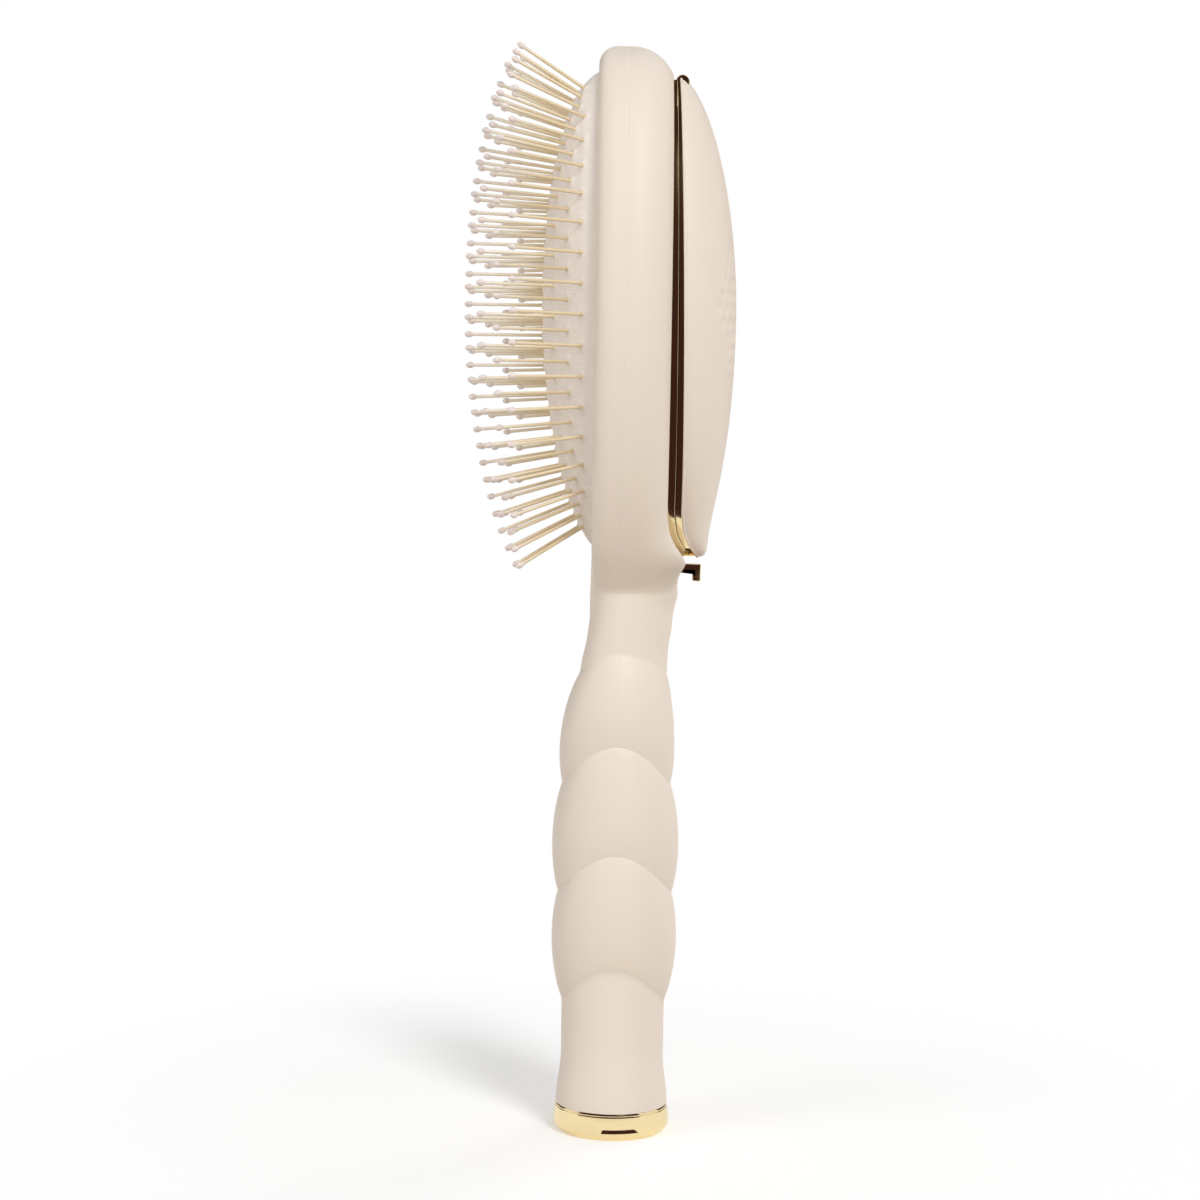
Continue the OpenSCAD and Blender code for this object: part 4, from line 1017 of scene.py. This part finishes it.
class DETANGLER_OT_pins(bpy.types.Operator):
    """Make the pins and their ball tips"""

    bl_idname = "detangler.pins"
    bl_label = "Pins"

    def execute(self, context):
        size = context.scene.brush_sizes
        r, tip = size.pin_radius / MM, size.tip_radius / MM
        shaft = [*((r * share, along) for share, along in PIN_FOOT), (r, PIN_LEN + PIN_OVERLAP)]
        shafts = [on_pins(shaft, PIN_SIDES)]
        build_piece("pin_shafts", shafts, "brush_body", "pin_shaft", 50, "pins")
        centre = PIN_LEN + BALL_HALF * math.cos(math.asin(r / tip))
        a = np.linspace(math.pi - math.asin(r * BALL_MOUTH / tip), 0, BALL_ROWS)
        ball = np.stack([tip * np.sin(a), centre + BALL_HALF * np.cos(a)], 1)
        balls = [on_pins(ball, BALL_SIDES)]
        build_piece("pin_balls", balls, "brush_body", "pin_ball", 0, "pin_tips")
        return {"FINISHED"}


class DETANGLER_OT_bezel(bpy.types.Operator):
    """Make the gold bezel round the compartment, with its hinge ears"""

    bl_idname = "detangler.bezel"
    bl_label = "Bezel"

    def execute(self, context):
        parts = ring_with_taper(0.0, BEZEL_T, context.scene.brush_sizes.trim_edge / MM, NOTCH_HALF)
        ear_x0 = KNUCKLE_HALF + SEAM
        half, low, out = EAR_FOOT
        for side in (-1, 1):
            x0, x1 = sorted((side * ear_x0, side * (ear_x0 + EAR_LEN)))
            parts.append(barrel(x0, x1, KNUCKLE_R, HINGE_Y, HINGE_Z))
            p, q = box_part(half, HEAD_BACK, HEAD_BACK + BEZEL_T / 2, HINGE_Z - low, HINGE_Z)
            parts.append((p + np.array([side * out, 0, 0]), q))
        build_piece("bezel", parts, "brush_body", "gold_metal", 40, "bezel_ring")
        return {"FINISHED"}


def ring_with_taper(y0, height, edge, gap):
    """Gold ring on the head's back: side wall, rounded top edges and inner wall. Heights shrink
    with the taper of the ring, so the profile is carried as shares of it."""
    shares = rounded([(0, 0), (0, height), (-BEZEL_W, height), (-BEZEL_W, 0)], [0, edge, edge, 0], 5)
    turns = ring_turns(gap)
    ring = sweep_ring(shares, BEZEL_A, BEZEL_B, HEAD_C, 0, turns)
    z = HEAD_C + BEZEL_B * np.sin(turns)
    share = taper(z)[:, None]
    ring[..., 1] = seat_level(z)[:, None] + y0 * share + (SEAM if y0 else 0) + shares[None, :, 1] * share
    parts = [(ring, grid_quads(len(turns), len(shares), wrap_cols=True))]
    for k, turn in ((0, True), (-1, False)):
        end = ring[k]
        fan = np.stack([end, np.tile(end.mean(0), (len(end), 1))])
        parts.append((fan, grid_quads(2, len(end), wrap_cols=True, turn=turn)))
    return parts


class DETANGLER_OT_lid(bpy.types.Operator):
    """Make the domed lid cover and its gold rim with the hinge knuckle"""

    bl_idname = "detangler.lid"
    bl_label = "Lid"

    def execute(self, context):
        size = context.scene.brush_sizes
        dome = [lid_surface(size.relief_depth / MM)]
        build_piece("lid_dome", dome, "lid", "shell", 50, "lid_cover")
        parts = ring_with_taper(BEZEL_T, RIM_T, size.trim_edge / MM, NOTCH_HALF)
        parts.append(barrel(-KNUCKLE_HALF, KNUCKLE_HALF, KNUCKLE_R, HINGE_Y, HINGE_Z))
        y0 = HEAD_BACK + BEZEL_T * float(taper(HINGE_Z)) + SEAM
        y1 = y0 + RIM_T * float(taper(HINGE_Z))
        low, high = LEAF
        for half, top in ((KNUCKLE_HALF, high), (NOTCH_HALF + BRIDGE[0], BRIDGE[1])):
            parts.append(box_part(half, y0, y1, HINGE_Z - low, HINGE_Z - top))
        build_piece("lid_trim", parts, "lid", "gold_metal", 40, "lid_rim")
        return {"FINISHED"}


class DETANGLER_OT_latch(bpy.types.Operator):
    """Make the gold hook of the latch with rounded edges"""

    bl_idname = "detangler.latch"
    bl_label = "Latch Hook"

    def execute(self, context):
        t, y1, z0, z1 = HOOK_T, HOOK_Y1, HOOK_Z0, HOOK_Z1
        leg = z0 - HOOK_LEG
        barb = y1 - t - HOOK_BARB
        claw = [(HOOK_Y0, z0), (y1 - t, z0), (y1 - t, leg + 1.6), (barb, leg + 1.2), (barb, leg + 0.1)]
        claw += [(y1 - 0.1, leg), (y1, z1), (HOOK_Y0, z1)]
        parts = [bar_of(rounded(claw, HOOK_RADII, 4), HOOK_HALF, HOOK_EDGE)]
        parts.append(bar_of(rounded(SLIDE, SLIDE_EDGE, 3), SLIDE_HALF, SLIDE_EDGE))
        build_piece("latch_claw", parts, "latch", "gold_metal", 35, "latch_hook")
        return {"FINISHED"}


# End cap and its ring. The wall is (height, radius) pairs, and the rest are (radius, height) points
CAP_WALL = [(0.75, 12.35), (1.1, 12.78), (1.7, 12.97), (2.4, 13.0), (3.6, 12.9), (5.3, 12.62)]
CAP_FOOT = [(0, 0), (11.6, 0), (11.9, 0.04), (12.12, 0.2), (12.25, 0.45)]
CAP_TOP = [(12.56, 5.38), (12.45, 5.4), (9.5, 5.4)]
CAP_RING = [
    *[(9.5, 5.4), (12.5, 5.4), (12.6, 5.45), (12.6, 5.62), (12.52, 5.8), (12.42, 5.95)],
    *[(12.3, CAP_H), (9.5, CAP_H)],
]


class DETANGLER_OT_cap(bpy.types.Operator):
    """Make the gold end cap and the fine bright ring over it"""

    bl_idname = "detangler.cap"
    bl_label = "End Cap"

    def execute(self, context):
        z = np.concatenate([[CAP_WALL[0][0], 0.85], np.linspace(1.0, CAP_WALL[-1][0], CAP_ROWS)])
        cap = CAP_FOOT + [*zip(smooth_table(CAP_WALL)(z), z)] + CAP_TOP
        for name, profile, finish, angle, node in (
            ("gold_cap", cap, "gold_metal", 50, "end_cap"),
            ("bright_ring", CAP_RING, "bright_trim", 30, "cap_ring"),
        ):
            build_piece(name, [turned(profile, sides=CAP_SIDES)], "brush_body", finish, angle, node)
        return {"FINISHED"}


FITTINGS = {
    "lining": ("backing_plate", "compartment_tray", "lid_liner", "lid_catch", "latch_guide", "end_plug"),
    "steel": (
        "plate_screws",
        "tray_screws",
        "liner_screws",
        "catch_screw",
        "guide_screws",
        "hinge_pin",
        "latch_spring",
        "alignment_pegs",
    ),
}


class DETANGLER_OT_fittings(bpy.types.Operator):
    """Give the CAD fittings inside their finishes"""

    bl_idname = "detangler.fittings"
    bl_label = "Inner Fittings"

    def execute(self, context):
        for finish, names in FITTINGS.items():
            for node in (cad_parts[name] for name in names):
                if not node.material_slots:
                    node.data.materials.append(None)
                for place in node.material_slots:
                    place.material = finishes()[finish]
        return {"FINISHED"}


class DETANGLER_OT_stage(bpy.types.Operator):
    """Make the floor, the dark flags that metal reflects, the lamps, the world and the camera"""

    bl_idname = "detangler.stage"
    bl_label = "Studio"

    def execute(self, context):
        make_floor()
        make_flags()
        make_lamps(context.scene.brush_studio)
        make_world(context.scene.brush_studio.ambient)
        make_camera(context.scene.brush_studio)
        context.scene.view_settings.view_transform = "Standard"
        return {"FINISHED"}


SEEN = ("Is Camera Ray", "Is Glossy Ray", "Is Transmission Ray")
LAMPS = {
    "key": ((1.75, 0.88, 1.86), 0.75),
    "fill": ((1.15, -2.0, 0.6), 1.3),
    "front": ((2.2, 1.2, 0.3), 1.0),
    "back": ((-1.6, 1.5, 0.45), 1.3),
}
AIM = (0, 0, 0.12)
CAMERA_AT = (0.52, -0.00428, 0.145)
FLOOR_HALF = 6
FLOOR_FADE = (0.055, 0.17)  # from the shadow's matt floor to plain white, by distance
FLOOR_TINTS = (0.56, 0.48, 0.41, 1), (0.965, 0.97, 0.975, 1)  # as it lights the brush, and as seen
FLOOR_GLOW = 0.25
# Faint brown glow of the flags: the colour of the painted dark reflections in the gold
FLAG_GLOW = (0.042, 0.018, 0.015, 1)
SKY_LEVELS = (1.5, 0.3)  # at the sides and overhead, as shares of the ambient light
# Each flag: its shape, its level or distance, its azimuths and its reach
FLAGS = {
    "front": ("bent", 0.5, (-62, 46), (9.8, 80)),
    "left": ("bent", 2.2, (-168, -112), (3, 37)),
    "right": ("bent", 2.2, (112, 168), (3, 37)),
    "floor": ("flat", 0.07, (-70, 60), (0.044, 0.62)),
    # Painted shade: the small flat flag round the cap's foot stands for the contact shadow that the end cap
    # mirrors as a dark spot
    "foot": ("flat", 0.0003, (-12, 34), (0.0160, 0.0262)),
    "over": ("over", 2.1, (76, 132), (-0.2, 0.14)),
}


def seen(tree):
    """Sum of the Light Path outputs for what the eye and metal see, held at one."""
    path = add_node(tree, "LightPath").outputs
    last = path[SEEN[0]]
    for name in SEEN[1:]:
        last = add_node(tree, "Math", {0: last, 1: path[name]}, operation="ADD", use_clamp=True).outputs[0]
    return last


def stage_mesh(name, points, faces, material):
    """A mesh of the stage, which isn't part of the brush."""
    mesh = bpy.data.meshes.new(name)
    mesh.from_pydata(points, [], faces)
    mesh.materials.append(material)
    piece = placed(name, mesh)
    return piece


def make_floor():
    """A wide flat sheet under the brush. Near the brush it is matt and keeps the shadow, with a
    glow that lifts the rest to white, and further off it is plain white. Light that it throws back
    on to the brush is weaker and warmer. It isn't seen from below."""
    m = bpy.data.materials.new("Studio Floor")
    t = tree_of(m, clear=True)
    eye = seen(t)
    level = add_node(t, "Math", {0: eye, 1: FLOOR_GLOW}, operation="MULTIPLY").outputs[0]
    matt = add_node(t, "BsdfDiffuse", {"Color": mixed(t, eye, *FLOOR_TINTS)}).outputs[0]
    glow = add_node(t, "Emission", {"Strength": level}).outputs[0]
    near = add_node(t, "AddShader", {0: matt, 1: glow}).outputs[0]
    place = add_node(t, "TexCoord").outputs["Object"]
    away = add_node(t, "VectorMath", {0: place}, operation="LENGTH").outputs["Value"]
    fade = {"Value": away, "From Min": FLOOR_FADE[0], "From Max": FLOOR_FADE[1]}
    fade = add_node(t, "MapRange", fade, interpolation_type="SMOOTHSTEP").outputs["Result"]
    share = add_node(t, "Math", {0: fade, 1: eye}, operation="MULTIPLY").outputs[0]
    white = add_node(t, "Emission").outputs[0]
    sheet = add_node(t, "MixShader", {0: share, 1: near, 2: white}).outputs[0]
    below = add_node(t, "NewGeometry").outputs["Backfacing"]
    clear = add_node(t, "BsdfTransparent").outputs[0]
    sheet = add_node(t, "MixShader", {0: below, 1: sheet, 2: clear}).outputs[0]
    add_node(t, "OutputMaterial", {"Surface": sheet})
    h = FLOOR_HALF
    stage_mesh("floor", [(-h, -h, 0), (h, -h, 0), (h, h, 0), (-h, h, 0)], [[0, 1, 2, 3]], m)


def make_flags():
    """Dark studio flags that only metal sees, which paint dark reflections into the gold. The bent ones lie
    on a sphere round the brush, each by its azimuth from +X and its elevation in degrees. The flat ones lie
    on the floor, by azimuth and distance; the small one round the cap's foot is painted shade, for the
    contact shadow that the end cap mirrors as a dark spot. The one overhead is a strip of a tube along X's
    side, by angle and share."""
    m = bpy.data.materials.new("Studio Flag")
    dark = {"Base Color": (0, 0, 0, 1), "Specular IOR Level": 0, "Roughness": 1}
    dark |= {"Emission Color": FLAG_GLOW, "Emission Strength": 1}
    t = tree_of(m)
    feed(t, t.nodes["Principled BSDF"], dark)
    rows, cols = 33, 17
    for name, (shape, level, azimuths, reach) in FLAGS.items():
        a = np.radians(np.linspace(*azimuths, rows))[:, None]
        r = np.linspace(*reach, cols)[None, :]
        e = np.radians(r)
        if shape == "flat":
            p = (r * np.cos(a), r * np.sin(a), level)
        elif shape == "over":
            p = (level * np.cos(a), level * r, level * np.sin(a))
        else:
            p = (level * np.cos(a) * np.cos(e), level * np.sin(a) * np.cos(e), level * np.sin(e))
        p = points_of(*p).reshape(-1, 3)
        flag = stage_mesh("flag_" + name, p.tolist(), grid_quads(rows, cols).tolist(), m)
        flag.visible_camera = flag.visible_diffuse = flag.visible_shadow = False
        flag.visible_transmission = flag.visible_volume_scatter = False


def make_lamps(studio):
    """A large soft lamp high in front on the lid's side, a weaker one on the pins' side, a low one
    beside the camera and one behind the brush. Metal mirrors only the first."""
    for name, (place, size) in LAMPS.items():
        data = bpy.data.lights.new(name, "AREA")
        data.shape, data.size, data.energy = "DISK", size, getattr(studio, name + "_power")
        lamp = placed(name, data)
        lamp.visible_glossy = name == "key"
        lamp.location = place
        lamp.rotation_euler = (Vector(AIM) - Vector(place)).to_track_quat("-Z", "Y").to_euler()


def make_world(ambient):
    """White to the eye and to metal. The rest gets a soft light that is strong from the sides and
    weak from above, so that the shadow on the floor keeps its depth."""
    world = bpy.data.worlds.new("Studio")
    bpy.context.scene.world = world
    t = tree_of(world, clear=True)
    way = add_node(t, "SeparateXYZ", {0: add_node(t, "TexCoord").outputs["Generated"]}).outputs["Z"]
    low, high = (share * ambient for share in SKY_LEVELS)
    level = add_node(t, "MapRange", {"Value": way, "To Min": low, "To Max": high}).outputs["Result"]
    soft = add_node(t, "Background", {"Color": (1, 0.985, 0.965, 1), "Strength": level}).outputs[0]
    white = add_node(t, "Background", {"Color": (1, 1, 1, 1)}).outputs[0]
    both = add_node(t, "MixShader", {0: seen(t), 1: soft, 2: white}).outputs[0]
    add_node(t, "OutputWorld", {"Surface": both})


def make_camera(studio):
    """Camera at the height where the pins' rows line up in the photograph. It looks down a little
    to hold the whole brush, and is rolled by the brush's small lean."""
    data = bpy.data.cameras.new("photo_camera")
    data.lens, data.sensor_width = studio.lens, 36
    data.clip_start, data.clip_end = 0.01, 30
    camera = placed("photo_camera", data)
    turn = Matrix(((0, 0, 1), (1, 0, 0), (0, 1, 0))).to_4x4()
    tilt = Matrix.Rotation(-studio.pitch, 4, "X") @ Matrix.Rotation(studio.roll, 4, "Z")
    camera.matrix_world = Matrix.Translation(CAMERA_AT) @ turn @ tilt
    bpy.context.scene.camera = camera


class DETANGLER_PT_panel(bpy.types.Panel):
    """Sidebar panel with the brush's settings and steps"""

    bl_label = "Detangling Brush"
    bl_idname = "DETANGLER_PT_panel"
    bl_space_type = "VIEW_3D"
    bl_region_type = "UI"
    bl_category = "Brush"

    def draw(self, context):
        layout, scene = self.layout, context.scene
        for title, group, names in (
            ("Sizes", scene.brush_sizes, BrushSizes.__annotations__),
            ("Colours", scene.brush_colours, BrushColours.__annotations__),
            ("Studio", scene.brush_studio, StudioSettings.__annotations__),
        ):
            box = layout.box()
            box.label(text=title)
            for name in names:
                box.prop(group, name)
        column = layout.column(align=True)
        for step in STEPS:
            column.operator(step.bl_idname)


STEPS = (
    DETANGLER_OT_body,
    DETANGLER_OT_cushion,
    DETANGLER_OT_pins,
    DETANGLER_OT_bezel,
    DETANGLER_OT_lid,
    DETANGLER_OT_latch,
    DETANGLER_OT_cap,
    DETANGLER_OT_fittings,
    DETANGLER_OT_stage,
)
SETTINGS = (BrushSizes, BrushColours, StudioSettings)


def register():
    """Register the settings, operators and panel"""
    for cls in (*SETTINGS, *STEPS, DETANGLER_PT_panel):
        bpy.utils.register_class(cls)
    bpy.types.Scene.brush_sizes = PointerProperty(type=BrushSizes)
    bpy.types.Scene.brush_colours = PointerProperty(type=BrushColours)
    bpy.types.Scene.brush_studio = PointerProperty(type=StudioSettings)


def unregister():
    """Take the settings, operators and panel away again"""
    del bpy.types.Scene.brush_studio, bpy.types.Scene.brush_colours, bpy.types.Scene.brush_sizes
    for cls in reversed((*SETTINGS, *STEPS, DETANGLER_PT_panel)):
        bpy.utils.unregister_class(cls)


def main():
    """Run every step in order"""
    register()
    for step in STEPS:
        group, name = step.bl_idname.split(".")
        getattr(getattr(bpy.ops, group), name)()


if __name__ == "__main__":
    main()
